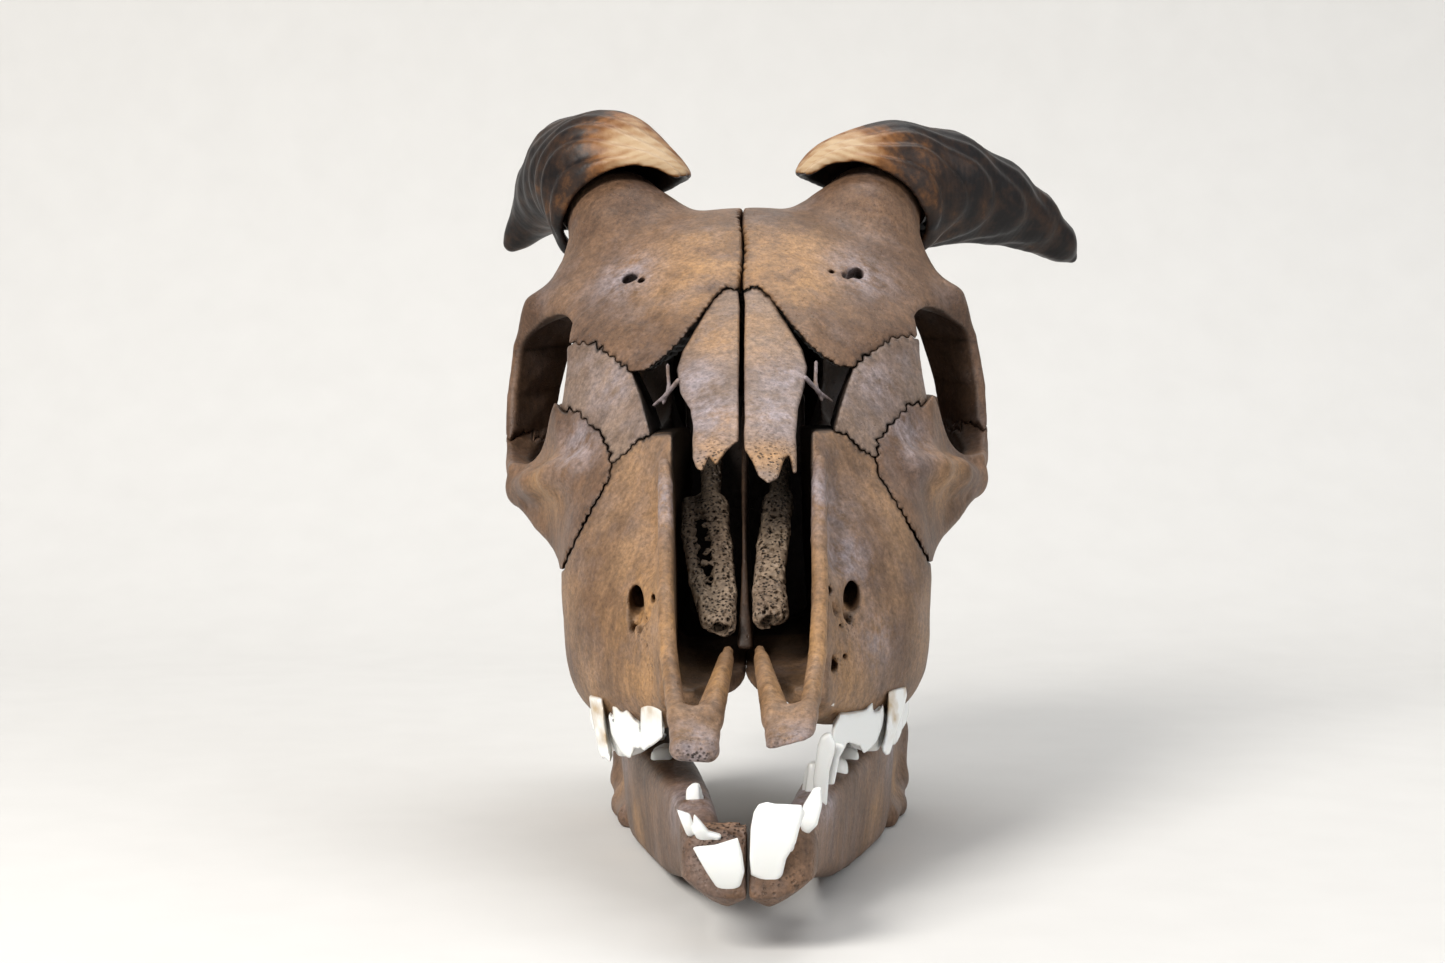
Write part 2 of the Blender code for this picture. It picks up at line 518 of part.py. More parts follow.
def turbinate(s, wide):
    """A rolled scroll of thin pitted bone in one half of the nose; the two sides differ in breadth."""
    reach, low = (0, 0) if wide else (-3.4, 1.2)
    outer = ((11.4 + reach, 92, 71), (11 + reach, 80, 66.5), (9.4 + reach, 68, 58.6), (6.6, 58, 51 + low))
    inner = ((5.0, 90, 71), (4.2, 79, 66), (3.4, 67, 57.4), (3.2, 57, 50.6 + low))
    body = sheet(s, outer, inner, 0.9)
    edge = ((4.6, 90, 70, 1.3), (3.9, 76, 63, 1.5), (3.4, 65, 55.2, 1.9), (3.8, 57, 50.2 + low, 2.3))
    lip = ((11.2 + reach, 92, 70.6, 1.1), (10.8 + reach, 79, 65.6, 1.3), (8.8 + reach * 0.8, 67, 57.4, 1.5),
           (6.4, 58, 50.8 + low, 1.9))
    body = join(join(body, bar(s, edge, 1), 1.5), bar(s, lip, 1), 1.5)
    body = join(body, bar(s, ((6.8, 88, 70, 1.8), (7, 116.5, 82, 2.6)), 2), 3)
    body = cut(body, bar(s, ((4.4, 53, 47.6 + low, 1.6), (4.8, 62, 53.4 + low, 1.1)), 1), 0.5)
    return keep(body, 1.2 - s.x, 0.4)


def vomer(s):
    """The upright plate in the middle of the nose, forked along its lower edge."""
    side = ((57, 45.5), (70, 46.2), (100, 46.6), (116.8, 47), (116.8, 91), (96, 84), (74, 68), (60, 51.5))
    thick = curve(s.z, (45, 48, 54, 90), (1.5, 1.3, 0.8, 0.65))
    return keep(np.abs(s.x) - thick, outline(s, side, "side"), 0.5)


MANDIBLE_OUTLINE = (
    (4, 10.5), (8, 7.6), (20, 8.8), (38, 6.4), (58, 2.6), (74, 0.5), (86, 0), (136, 0), (143, 1.8), (150, 7),
    (155, 16), (156, 30), (153.5, 46), (153, 60), (156.5, 69), (161.5, 73.5), (162.5, 77.5), (158, 79.5),
    (152.5, 76.5), (149.5, 79), (148.6, 88), (151, 97), (153, 103.5), (149, 106), (142, 100), (134.5, 88),
    (128, 72), (124, 54), (120.5, 38), (113, 29), (102, 26.5), (80, 22.4), (60, 21.2), (40, 20.2), (30, 17.6),
    (20, 19.4), (12, 21.6), (7, 20))
# X of the middle of the jaw's thickness, along Y, at its lower edge and at the teeth.
JAW_STATIONS = (5, 20, 40, 60, 77, 89, 105, 128, 150)
JAW_LOW = (5.0, 6.6, 8.8, 12.6, 14.8, 17.2, 21.2, 26.4, 29)
JAW_HIGH = (5.4, 7.8, 10.4, 13.4, 17.0, 19.6, 22.6, 27.8, 31)


def jaw_middle(s):
    """X of the middle of the jaw's thickness, by Y and height: the lower edge leans in, in front."""
    low = curve(s.y, JAW_STATIONS, JAW_LOW)
    high = curve(s.y, JAW_STATIONS, JAW_HIGH)
    t = np.clip(s.z / 26, 0, 1.3)
    return low + (high - low) * t


def mandible_bone(s):
    middle = jaw_middle(s)
    thick = curve(s.y, (5, 12, 24, 40, 60, 90, 110, 122, 150, 160),
                  (5.2, 5.2, 3.6, 3.6, 4.4, 5.4, 4.6, 2.4, 1.9, 2.4))
    thick = thick * curve(s.z, (0, 8, 30, 50, 110), (0.9, 1, 1, 0.85, 0.75))
    thick = thick - np.clip(1 - s.y / 34, 0, 1) * np.clip(13 - s.z, 0, 5) * 1.5
    inner = middle - s.x - thick - 6 * np.clip(1 - s.y / 26, 0, 1)
    body = keep(outline(s, MANDIBLE_OUTLINE, "side"), np.maximum(s.x - middle - thick, inner), 3.5)
    condyle = bar(s, ((27.6, 158, 76.8, 2.4), (31, 158.4, 77.4, 2.6), (36.5, 158, 77.2, 2.3)), 2)
    angle = ((27.6, 122, 2.3, 2.3), (29, 135, 2.4, 2.4), (30.2, 145, 6.4, 2.2), (30.6, 151, 16, 1.9))
    body = join(join(body, condyle, 3), bar(s, angle, 3), 3)
    body = cut(body, bar(s, ((11.5, 21, 15.4, 1.3), (7, 24, 15, 1.1)), 1), 0.6)
    return keep(halved(body, s, 0.6, 0.6), -s.z, 0.2)


def lower_teeth(s, fallen):
    """The cheek teeth of one jaw half: one is sunk and three are lost on one side, one stands out on the other."""
    rows = []
    for i, size in enumerate(LOWER_TEETH):
        if fallen and i in MISSING:
            continue
        if i == 0:
            size = size[:4] + (size[4] - FALLEN_DROP,) if fallen else STANDING_OUT
        rows.append(cheek_tooth(s, size, 18.0, up=1, seed=20 + i))
    return np.minimum.reduce([np.broadcast_to(r, s.shape) for r in rows])


def mandible(s, fallen=False):
    body = join(mandible_bone(s), lower_teeth(s, fallen), 0.7)
    return halved(join(body, incisors(s, fallen), 0.7), s, 0.6, 0.6)


def incisors(s, fallen):
    """The front teeth of one half: one broad chisel and a few narrow ones beside it."""
    if fallen:
        blades = ((((1.9, 7.6, 13.6), (4.4, 7.6, 13.6)), ((1.2, 2.4, 19.6), (8.3, 2.9, 18.2)), 1.1),
                  (((4.4, 9.4, 17.0), (6.2, 9.8, 16.6)), ((7.6, 7.0, 24.0), (8.6, 7.2, 22.6)), 0.9),
                  (((7.2, 11, 17.6), (8.8, 11.4, 17.6)), ((10.6, 8.4, 24.6), (11.6, 8.6, 23.6)), 0.9))
    else:
        blades = ((((2.6, 8, 14.2), (5.6, 8, 14.2)), ((1.9, 2.6, 25.0), (8.8, 3.0, 24.8)), 1.2),
                  (((7.4, 10, 16), (8.6, 10.4, 16.4)), ((9.6, 8.0, 25.8), (11.6, 8.4, 26.6)), 1.0),
                  (((9.4, 12, 18), (10.2, 12.4, 18.4)), ((12.0, 10.4, 26.4), (12.9, 10.8, 28.2)), 0.9))
    found = None
    for low, high, radius in blades:
        blade = sheet(s, low, high, radius)
        found = blade if found is None else join(found, blade, 0.4)
    return found


HORN_MOUTH = ((-0.251, 0.917, 0.312), 177.8)
HORN_LEFT = ((21, 147, 115.4, 14.5), (26, 156, 127.6, 14.6), (33.5, 166, 137.4, 13.7), (45, 174, 137.6, 12),
             (57, 182, 134.8, 9.2), (67, 188.5, 130.2, 6.2), (74, 192.5, 125, 3.5), (77.7, 195, 121.4, 1))
HORN_RIGHT = ((21, 147, 115.4, 14.5), (26, 156, 127.8, 14.8), (31.5, 166, 140.5, 14.4), (38, 176, 142.4, 12),
              (45, 184, 138.8, 8), (50.2, 189.5, 133.6, 4.3), (54, 191.5, 129.4, 2), (56, 192, 127.2, 1))
# The wider base of a sheath towards the midline, and how far its rim reaches forward at each X.
HORN_BASE = ((23.5, 157, 132.5, 14.2), (24.5, 162, 135, 14))
RIM_X = (16, 24, 32, 38)
RIM_REACH = (1.5, 3.8, 6.2, 7.2)


def horn(s, left):
    """A loose horn sheath: a curved hollow cone with growth rings near its open mouth."""
    path = HORN_LEFT if left else HORN_RIGHT
    outer = join(bar(s, path, 5), bar(s, HORN_BASE, 1), 4)
    normal, past = HORN_MOUTH
    along = normal[0] * s.x + normal[1] * s.y + normal[2] * s.z - past
    outer = outer + 0.4 * np.sin(1.5 * along) * np.clip(1 - along / 24, 0, 1)
    along = along + curve(s.x, RIM_X, RIM_REACH) * np.clip((s.z - 122) / 10, 0, 1)
    walls = (1.6, 1.7, 2.6, 4, 5.5)
    hollow = bar(s, [(x, y, z, r - wall) for (x, y, z, r), wall in zip(path, walls)], 4)
    hollow = join(hollow, bar(s, [(x, y, z, r - walls[1]) for x, y, z, r in HORN_BASE], 1), 3)
    hollow = np.minimum(hollow, horn_core(s, 1.0))
    lip = (np.minimum(139.5 - 0.35 * (s.x - 13.3), 137.2 - 2.2 * (s.x - 20)) - s.z) * 0.6
    shell = keep(keep(keep(outer, -hollow, 1.2), -along, 1.2), lip, 1.2)
    return keep(shell, 0.9 - frontal_skin(s), 0.4)


def frontal_skin(s):
    height, side = roof_height(s), roof_side(s)
    return join(keep(height, side, 3), horn_core(s), 7)


def skull_pose(p):
    """The skull sits a little turned and leaning on its jaw."""
    x, y, z = p[:, 0], p[:, 1], p[:, 2]
    return np.stack([x + (y - 57) * 0.0235 - (z - 60) * 0.021, y, z + x * 0.021], 1)


def jaw_pose(p):
    return np.stack([p[:, 0] + (p[:, 1] - 5) * 0.029 + 0.3, p[:, 1], p[:, 2]], 1)


def largest(points, faces):
    """The largest closed surface of a mesh."""
    label = np.arange(len(points))
    while True:
        least = label[faces].min(1)
        after = label.copy()
        np.minimum.at(after, faces.ravel(), np.repeat(least, 3))
        after = after[after]
        if (after == label).all():
            break
        label = after
    owner = label[faces[:, 0]]
    names, counts = np.unique(owner, return_counts=True)
    faces = faces[owner == names[counts.argmax()]]
    used, index = np.unique(faces, return_inverse=True)
    return points[used], index.reshape(-1, 3)


def surface(name, colour, rough):
    made = bpy.data.materials.new(name)
    made.use_nodes = True
    shader = made.node_tree.nodes["Principled BSDF"]
    shader.inputs["Base Color"].default_value = (*colour, 1)
    shader.inputs["Roughness"].default_value = rough
    return made


def make(name, shape, low, high, step, triangles, look, flip=False, pose=skull_pose):
    """One node: the shape's surface inside a box, thinned to a number of triangles."""
    s = Space(low, high, step)
    field = np.broadcast_to(shape(s), s.shape)
    points, faces = largest(*tetra_mesh(field, s.low, s.step))
    if flip:
        points = points * (-1, 1, 1)
        faces = faces[:, ::-1]
    points = (pose(points) - ORIGIN) * MM
    mesh = bpy.data.meshes.new(name)
    mesh.from_pydata(points.tolist(), [], faces.tolist())
    dense = bpy.data.objects.new(name + "_dense", mesh)
    bpy.context.collection.objects.link(dense)
    thin = dense.modifiers.new("thin", "DECIMATE")
    thin.ratio = min(1.0, triangles / len(faces))
    graph = bpy.context.evaluated_depsgraph_get()
    kept = bpy.data.meshes.new_from_object(dense.evaluated_get(graph))
    kept.name = name
    bpy.data.objects.remove(dense)
    bpy.data.meshes.remove(mesh)
    made = bpy.data.objects.new(name, kept)
    bpy.context.collection.objects.link(made)
    kept.shade_smooth()
    kept.materials.append(surface(name, *look))
    return made


BONE = ((0.16, 0.095, 0.06), 0.6)
CHALKY_BONE = ((0.22, 0.16, 0.13), 0.7)
OCHRE_BONE = ((0.26, 0.16, 0.09), 0.55)
SHEATH = ((0.03, 0.02, 0.015), 0.45)


def main():
    for old in list(bpy.data.objects):
        bpy.data.objects.remove(old)
    paired = (
        ("frontal", frontal, (-2, 78, 76), (60, 192, 158), 0.9, 1350, BONE),
        ("lacrimal", lacrimal, (10, 66, 72), (50, 126, 108), 0.8, 320, CHALKY_BONE),
        ("zygomatic", zygomatic, (20, 72, 52), (56, 158, 98), 0.8, 620, BONE),
        ("premaxilla", premaxilla, (-2, 4, 28), (18, 68, 84), 0.7, 450, OCHRE_BONE),
        ("maxilla", maxilla, (-2, 34, 20), (42, 118, 92), 0.8, 1640, OCHRE_BONE),
    )
    for name, shape, low, high, step, triangles, look in paired:
        make(name + "_left", shape, low, high, step, triangles, look)
        make(name + "_right", shape, low, high, step, triangles, look, flip=True)
    plate = ((-2, 48, 72), (16, 110, 118), 0.7, 300, CHALKY_BONE)
    make("nasal_left", lambda s: nasal(s, NASAL_LONG), *plate)
    make("nasal_right", lambda s: nasal(s, NASAL_SHORT), *plate, flip=True)
    scroll = ((-1, 50, 44), (16, 124, 94), 0.7, 340, CHALKY_BONE)
    make("turbinate_left", lambda s: turbinate(s, wide=False), *scroll)
    make("turbinate_right", lambda s: turbinate(s, wide=True), *scroll, flip=True)
    make("braincase", braincase, (-56, 110, 34), (56, 212, 132), 1.1, 2900, BONE)
    make("palatine", palatine, (-18, 108, 34), (18, 152, 76), 0.8, 500, BONE)
    make("vomer", vomer, (-3, 54, 42), (3, 122, 96), 0.6, 150, BONE)
    jaw = ((-2, -2, -4), (42, 168, 110), 0.9, 1500, BONE)
    make("mandible_left", mandible, *jaw, pose=jaw_pose)
    make("mandible_right", lambda s: mandible(s, fallen=True), *jaw, flip=True, pose=jaw_pose)
    make("horn_left", lambda s: horn(s, True), (4, 128, 108), (84, 202, 162), 0.8, 600, SHEATH)
    make("horn_right", lambda s: horn(s, False), (4, 128, 108), (64, 202, 162), 0.8, 600, SHEATH, flip=True)


main()
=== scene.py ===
"""A young goat's skull on its jaw, dressed for a close look: seams, pits, teeth, horn and bone.

The bones are formulas for the distance to their surface, in millimetres, meshed finely here.
+X is the animal's left, +Y runs from the incisors to the back of the head, +Z is up.
"""

from itertools import product

import bpy
import numpy as np
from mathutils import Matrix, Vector


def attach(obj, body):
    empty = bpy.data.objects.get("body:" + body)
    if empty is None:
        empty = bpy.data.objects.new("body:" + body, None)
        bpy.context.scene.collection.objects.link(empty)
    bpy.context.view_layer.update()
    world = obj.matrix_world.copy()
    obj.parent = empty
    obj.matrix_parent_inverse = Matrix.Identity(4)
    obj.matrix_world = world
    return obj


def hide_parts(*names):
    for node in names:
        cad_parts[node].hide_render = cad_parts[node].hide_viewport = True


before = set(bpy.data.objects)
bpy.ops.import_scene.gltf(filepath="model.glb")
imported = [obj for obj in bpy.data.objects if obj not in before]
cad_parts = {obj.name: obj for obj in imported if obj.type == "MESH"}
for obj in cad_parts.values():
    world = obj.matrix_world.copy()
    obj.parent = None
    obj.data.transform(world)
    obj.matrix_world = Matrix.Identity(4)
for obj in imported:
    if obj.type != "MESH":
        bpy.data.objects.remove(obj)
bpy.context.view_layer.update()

# Driving dimensions in millimetres: the width of a seam, and how deep under the surface it closes again.
SEAM_GAP = 0.3
SEAM_DEPTH = 1.2
ORBIT_CENTRE = (39.0, 127.5, 93.0)
ORBIT_RADII = (25.0, 16.5, 16.2)
ORBIT_TURN = -27.0
ROOF_DEPTH = 7.0
# Brings the forehead's field close to a true distance.
ROOF_SCALE = 0.8
# The brain's hollow, which shows through the large hole at the back.
BRAIN_CENTRE = (0.0, 164.0, 91.0)
BRAIN_RADII = (23.5, 31.0, 25.5)
CORONAL_Y = 167.0
PALATE_Z = 40.5
# Middle of the whole object's box, and its lowest point, in the numbers used below.
ORIGIN = (12.30, 103.34, 0.03)
MM = 0.001

# Guide lines of the face: the first number is the station along the skull (Y).
ROOF_LINE = ((40, 69), (52, 77), (66, 86.5), (80, 95.5), (95, 105), (107, 112.5), (120, 121.5),
             (130, 127.5), (140, 131.2), (150, 132.4), (160, 131), (170, 127), (180, 121))
ROOF_MARGIN = ((85, 16, 94), (95, 21, 98.5), (107, 31, 102.5), (116, 36, 105.5), (125, 39.5, 109.5),
               (133, 44, 111.5), (139, 47, 112.5), (144, 43, 116.5), (150, 38.5, 120.5),
               (158, 33, 121), (168, 29, 117), (180, 27, 108))
# Face loft: station, then shoulder, cheek, wall, belly and tooth-root points as X, Z.
FACE_GUIDES = (
    (30, 10, 60, 12.5, 50, 13.5, 45, 13.5, 41, 12, 37),
    (45, 11, 68, 14.8, 57, 16, 50, 16.5, 44, 15, 35.5),
    (60, 12, 78, 17, 66, 22, 57, 25, 47, 22.5, 33),
    (71, 13, 86, 20, 74, 28, 63, 32, 48.5, 27, 31.5),
    (82, 15, 93, 25.5, 80.5, 33, 69, 35.8, 50, 30.5, 31),
    (94, 20, 98.5, 31, 86.5, 35.5, 74, 36, 52, 32, 31.5),
    (104, 28.5, 101.5, 35.5, 91, 37.5, 76, 34.5, 54, 31, 33),
    (113, 35.5, 105, 38, 94, 37, 78, 31, 58, 27, 42),
    (122, 37, 107, 39, 95, 36, 78, 29, 60, 24, 46),
)


def curve(at, knots, values):
    """A smooth line through the values at the knots, held level past both ends."""
    knots = np.asarray(knots, float)
    values = np.asarray(values, float)
    at = np.clip(at, knots[0], knots[-1])
    slopes = np.gradient(values, knots)
    i = np.clip(np.searchsorted(knots, at) - 1, 0, len(knots) - 2)
    h = knots[i + 1] - knots[i]
    t = (at - knots[i]) / h
    return ((1 + 2 * t) * (1 - t) ** 2 * values[i] + t * (1 - t) ** 2 * h * slopes[i]
            + t * t * (3 - 2 * t) * values[i + 1] + t * t * (t - 1) * h * slopes[i + 1])


def guide(line, column, at):
    """One column of a guide table, read at a station."""
    return curve(at, [row[0] for row in line], [row[column] for row in line])


class Space:
    """A regular grid of sample points; x, y and z broadcast against each other."""

    def __init__(self, low, high, step, side=1):
        self.low, self.step, self.side = np.array(low, float), step, side
        counts = [int(np.ceil((b - a) / step)) + 1 for a, b in zip(low, high)]
        axes = [self.low[i] + step * np.arange(counts[i]) for i in range(3)]
        self.start, self.whole, self.flat = (0, 0, 0), self, {}
        self.spread(axes)

    def spread(self, axes):
        self.axes, self.shape = axes, tuple(len(a) for a in axes)
        self.x, self.y, self.z = axes[0][:, None, None], axes[1][None, :, None], axes[2][None, None, :]

    def window(self, start, size):
        """A small part of the same grid."""
        part = Space.__new__(Space)
        part.step, part.side, part.whole, part.start = self.step, self.side, self, start
        part.spread([self.axes[i][start[i]:start[i] + size] for i in range(3)])
        return part

    def folded(self):
        """The same points with both sides folded onto +X."""
        part = Space.__new__(Space)
        part.step, part.side, part.whole, part.start, part.flat = self.step, 1, part, (0, 0, 0), {}
        part.spread([np.abs(self.axes[0]), self.axes[1], self.axes[2]])
        return part


class Points:
    """Loose points, which the same formulas can read."""

    def __init__(self, points):
        self.x, self.y, self.z = points.T


def share(value):
    """A value held between 0 and 1."""
    return np.clip(value, 0, 1)


def line_distance(u, w, points):
    """Signed distance to a closed outline in a plane."""
    found = np.full(np.broadcast(u, w).shape, 1e6)
    inside = np.zeros(found.shape, bool)
    for (au, aw), (bu, bw) in zip(points, points[1:] + points[:1]):
        eu, ew = bu - au, bw - aw
        t = share(((u - au) * eu + (w - aw) * ew) / (eu * eu + ew * ew + 1e-9))
        found = np.minimum(found, np.hypot(u - au - t * eu, w - aw - t * ew))
        between = (aw > w) != (bw > w)
        inside ^= between & (u < (bu - au) * (w - aw) / (bw - aw + 1e-12) + au)
    return np.where(inside, -found, found)


def jagged(points, side):
    """An outline with the zigzag of interlocking bone along its seams, the same for both neighbours."""
    made = []
    for a, b in zip(points, points[1:] + points[:1]):
        made.append(a)
        for seam, height, pitch in SERRATIONS:
            if a in seam and b in seam:
                break
        else:
            continue
        low, high = sorted((a, b))
        rng = np.random.default_rng([side + 1] + [int(abs(v) * 100) for v in low + high])
        run = np.subtract(high, low)
        across = np.array([-run[1], run[0]]) / np.hypot(*run)
        count = max(2, int(round(np.hypot(*run) / (pitch / 2))))
        turns = [tuple(np.add(low, run * (k + rng.uniform(-0.3, 0.3)) / count)
                       + across * height * rng.uniform(0.3, 1) * (-1) ** k) for k in range(1, count)]
        made += turns if low == a else turns[::-1]
    return tuple((float(u), float(w)) for u, w in made)


# Grids coarser than this leave out the zigzag of the seams.
ZIGZAG_STEP = 1.5


def outline(s, points, view="front"):
    """Distance to a closed outline, in X and Z seen from the front or in Y and Z seen from the side."""
    whole = s.whole
    if (points, view) not in whole.flat:
        u = whole.axes[0 if view == "front" else 1][:, None]
        w = whole.axes[2][None, :]
        shape = jagged(points, whole.side) if view == "front" and whole.step < ZIGZAG_STEP else points
        whole.flat[points, view] = line_distance(u, w, shape)
    field = whole.flat[points, view]
    (i, j, k), (a, b, c) = s.start, s.shape
    if view == "front":
        return field[i:i + a, None, k:k + c]
    return field[None, j:j + b, k:k + c]


# Neighbours overlap by a little under the surface, so that no light comes through a seam.
OVERLAP = 0.03


def within(body, s, points):
    """The part of a body inside its outline; the gap at the seam closes again under the surface."""
    depth = share(-body / SEAM_DEPTH)
    return keep(body, outline(s, points) + SEAM_GAP / 2 * (1 - depth) - OVERLAP, 0.3)


def halved(body, s, gap):
    """The +X part of a body, cut along the wandering seam of the midline, which closes under the surface."""
    behind = share((s.y - 108) / 6)
    palate = share((50 - s.z) / 3) * share((s.y - 36) / 4)
    high = share((s.z - 110) / 5)
    along = s.y + 0.6 * np.sin(s.y * 0.9) + 0.45 * s.z
    zigzag = np.abs((along / 2.1) % 1 - 0.5) * 4 - 1
    wave = (0.5 * zigzag * behind * high + 0.5 * np.sin(s.y * 0.21 + 1) * high) * s.side
    depth = np.maximum(share(-body / 2.2) * behind, share(-body / 0.5) * palate)
    return keep(body, (gap - 0.1 * high) / 2 * (1 - depth) - s.x + wave - OVERLAP * depth, 0.4)


def join(a, b, blend=2.0):
    """Union with a fillet."""
    h = np.maximum(blend - np.abs(a - b), 0) / blend
    return np.minimum(a, b) - h * h * blend / 4


def keep(a, b, blend=1.0):
    """Intersection with a rounded edge."""
    return -join(-a, -b, blend)


def cut(a, b, blend=1.0):
    """a with b taken out, the edge rounded."""
    return -join(-a, b, blend)


def ball(s, centre, radii, turn=0.0, tilt=0.0):
    """An ellipsoid, turned about Z and then tilted about its own X, in degrees."""
    x, y, z = s.x - centre[0], s.y - centre[1], s.z - centre[2]
    c, d = np.cos(np.radians(turn)), np.sin(np.radians(turn))
    x, y = c * x + d * y, c * y - d * x
    c, d = np.cos(np.radians(tilt)), np.sin(np.radians(tilt))
    y, z = c * y + d * z, c * z - d * y
    a, b, e = radii
    near = np.sqrt((x / a) ** 2 + (y / b) ** 2 + (z / e) ** 2) + 1e-6
    slope = np.sqrt((x / a**2) ** 2 + (y / b**2) ** 2 + (z / e**2) ** 2) + 1e-6
    return near * (near - 1) / slope


def bar(s, points, blend=1.5, flat=None):
    """A chain of round bars: each point is X, Y, Z and radius. flat is (axis, factor) of a squeeze."""
    axes = [s.x, s.y, s.z]
    points = [np.array(p, float) for p in points]
    if flat:
        n, k = np.array(flat[0], float), flat[1] - 1
        n = n / np.linalg.norm(n)
        across = sum(n[i] * axes[i] for i in range(3))
        axes = [axes[i] + k * n[i] * across for i in range(3)]
        points = [np.append(p[:3] + k * n * (n @ p[:3]), p[3]) for p in points]
    found = None
    for a, b in zip(points[:-1], points[1:]):
        run = b[:3] - a[:3]
        d = [axes[i] - a[i] for i in range(3)]
        t = share(sum(d[i] * run[i] for i in range(3)) / (run @ run))
        gap = np.sqrt(sum((d[i] - t * run[i]) ** 2 for i in range(3))) - (a[3] + t * (b[3] - a[3]))
        found = gap if found is None else join(found, gap, blend)
    return found


def triangle(s, a, b, c):
    """Distance to a flat triangle."""
    p = [s.x, s.y, s.z]
    corners = [np.array(v, float) for v in (a, b, c)]
    normal = np.cross(corners[1] - corners[0], corners[2] - corners[1])
    over = sum(normal[i] * (p[i] - corners[0][i]) for i in range(3)) / (np.linalg.norm(normal) + 1e-9)
    sides, edges = 0, None
    for k in range(3):
        start, run = corners[k], corners[(k + 1) % 3] - corners[k]
        d = [p[i] - start[i] for i in range(3)]
        wall = np.cross(run, normal)
        sides = sides + (sum(wall[i] * d[i] for i in range(3)) < 0)
        t = share(sum(d[i] * run[i] for i in range(3)) / (run @ run))
        gap = sum((d[i] - t * run[i]) ** 2 for i in range(3))
        edges = gap if edges is None else np.minimum(edges, gap)
    return np.where(sides == 3, np.abs(over), np.sqrt(edges))


def sheet(s, edge_a, edge_b, radius):
    """A plate of even thickness stretched between two edges with the same number of points."""
    squares = zip(edge_a, edge_a[1:], edge_b, edge_b[1:])
    halves = [triangle(s, *half) for a, b, c, d in squares for half in ((a, b, c), (c, b, d))]
    return np.minimum.reduce(halves) - radius


def face(s):
    """The outer form of the muzzle and cheeks, lofted through the face guides."""
    y = s.y.ravel()
    x = np.abs(s.x[:, 0, 0])[:, None]
    z = s.z[0, 0, :][None, :]
    field = np.empty(s.shape, np.float32)
    angles = np.linspace(0, np.pi, 121)
    for j, station in enumerate(y):
        at = min(max(station, FACE_GUIDES[0][0]), FACE_GUIDES[-1][0])
        roof = float(guide(ROOF_LINE, 1, at))
        points = [(0.0, roof)] + [
            (float(guide(FACE_GUIDES, c, at)), float(guide(FACE_GUIDES, c + 1, at))) for c in (1, 3, 5, 7, 9)]
        middle = 0.5 * (points[2][1] + points[3][1]) - 4
        points += [(0.0, PALATE_Z)]
        turn = [np.arctan2(px, pz - middle) for px, pz in points]
        reach = [np.hypot(px, pz - middle) for px, pz in points]
        radius = curve(angles, turn, reach)
        here = np.interp(np.arctan2(x, z - middle), angles, radius)
        field[:, j, :] = (np.hypot(x, z - middle) - here) * 0.9
    over = np.maximum(s.y - FACE_GUIDES[-1][0], FACE_GUIDES[0][0] - s.y)
    return keep(field, over, 2)


def roof_height(s):
    """Distance above the forehead's surface, which falls away to its side margin."""
    ax = np.abs(s.x)
    top, width, low = guide(ROOF_LINE, 1, s.y), guide(ROOF_MARGIN, 1, s.y), guide(ROOF_MARGIN, 2, s.y)
    return (s.z - top + (top - low) * (ax / width) ** 2.2) * ROOF_SCALE


def roof_side(s):
    """Distance outside the forehead's outline, seen from above."""
    return (np.abs(s.x) - guide(ROOF_MARGIN, 1, s.y)) * 0.9


def orbit(s):
    """The eye socket's hollow, which opens outwards and a little forwards."""
    return ball(s.folded(), ORBIT_CENTRE, ORBIT_RADII, turn=ORBIT_TURN)


# Seams between the face bones on one side, as X and Z seen from the front.
SEAM_NASAL_FRONTAL = ((0, 113), (3.2, 114.2), (6, 111.4), (9.5, 106.6))
SEAM_LACRIMAL_FRONTAL = ((22, 97), (27.5, 101.3), (31, 103), (36.5, 103.2))
SEAM_LACRIMAL_MAXILLA = ((17.6, 85.2), (20.5, 83.9), (22.5, 81.6), (25.6, 79.6))
SEAM_LACRIMAL_ZYGOMATIC = ((25.6, 79.6), (27.2, 84.4), (30, 86.7), (33.6, 89.6), (37, 89.4))
SEAM_ZYGOMATIC_MAXILLA = ((25.6, 79.6), (26.1, 76.5), (29.6, 70.5), (33, 64.5), (36, 58.5))
FISSURE_FRONTAL = ((9.5, 106.6), (12.5, 102.8), (16, 99.6), (19, 97.6), (22, 97))
# How the seams interlock: the seam, the height of its teeth and their pitch.
SERRATIONS = ((SEAM_LACRIMAL_FRONTAL, 0.95, 1.7), (SEAM_LACRIMAL_ZYGOMATIC, 0.95, 1.7),
              (SEAM_LACRIMAL_MAXILLA, 0.5, 1.3), (SEAM_NASAL_FRONTAL, 0.4, 1.2),
              (SEAM_ZYGOMATIC_MAXILLA, 0.3, 1.6), (FISSURE_FRONTAL, 0.3, 1.3))

FRONTAL_OUTLINE = (SEAM_NASAL_FRONTAL + FISSURE_FRONTAL[1:] + SEAM_LACRIMAL_FRONTAL[1:]
                   + ((70, 100), (70, 200), (0, 200)))
LACRIMAL_OUTLINE = (SEAM_LACRIMAL_FRONTAL + ((46, 104), (46, 89)) + SEAM_LACRIMAL_ZYGOMATIC[::-1]
                    + SEAM_LACRIMAL_MAXILLA[-2::-1] + ((19.5, 91),))
ZYGOMATIC_OUTLINE = (SEAM_LACRIMAL_ZYGOMATIC + ((41, 94), (60, 94), (60, 57), (42, 57))
                     + SEAM_ZYGOMATIC_MAXILLA[:0:-1])
MAXILLA_OUTLINE = (SEAM_LACRIMAL_MAXILLA + SEAM_ZYGOMATIC_MAXILLA[1:]
                   + ((42, 57), (60, 57), (60, 20), (-2, 20), (-2, 86)))
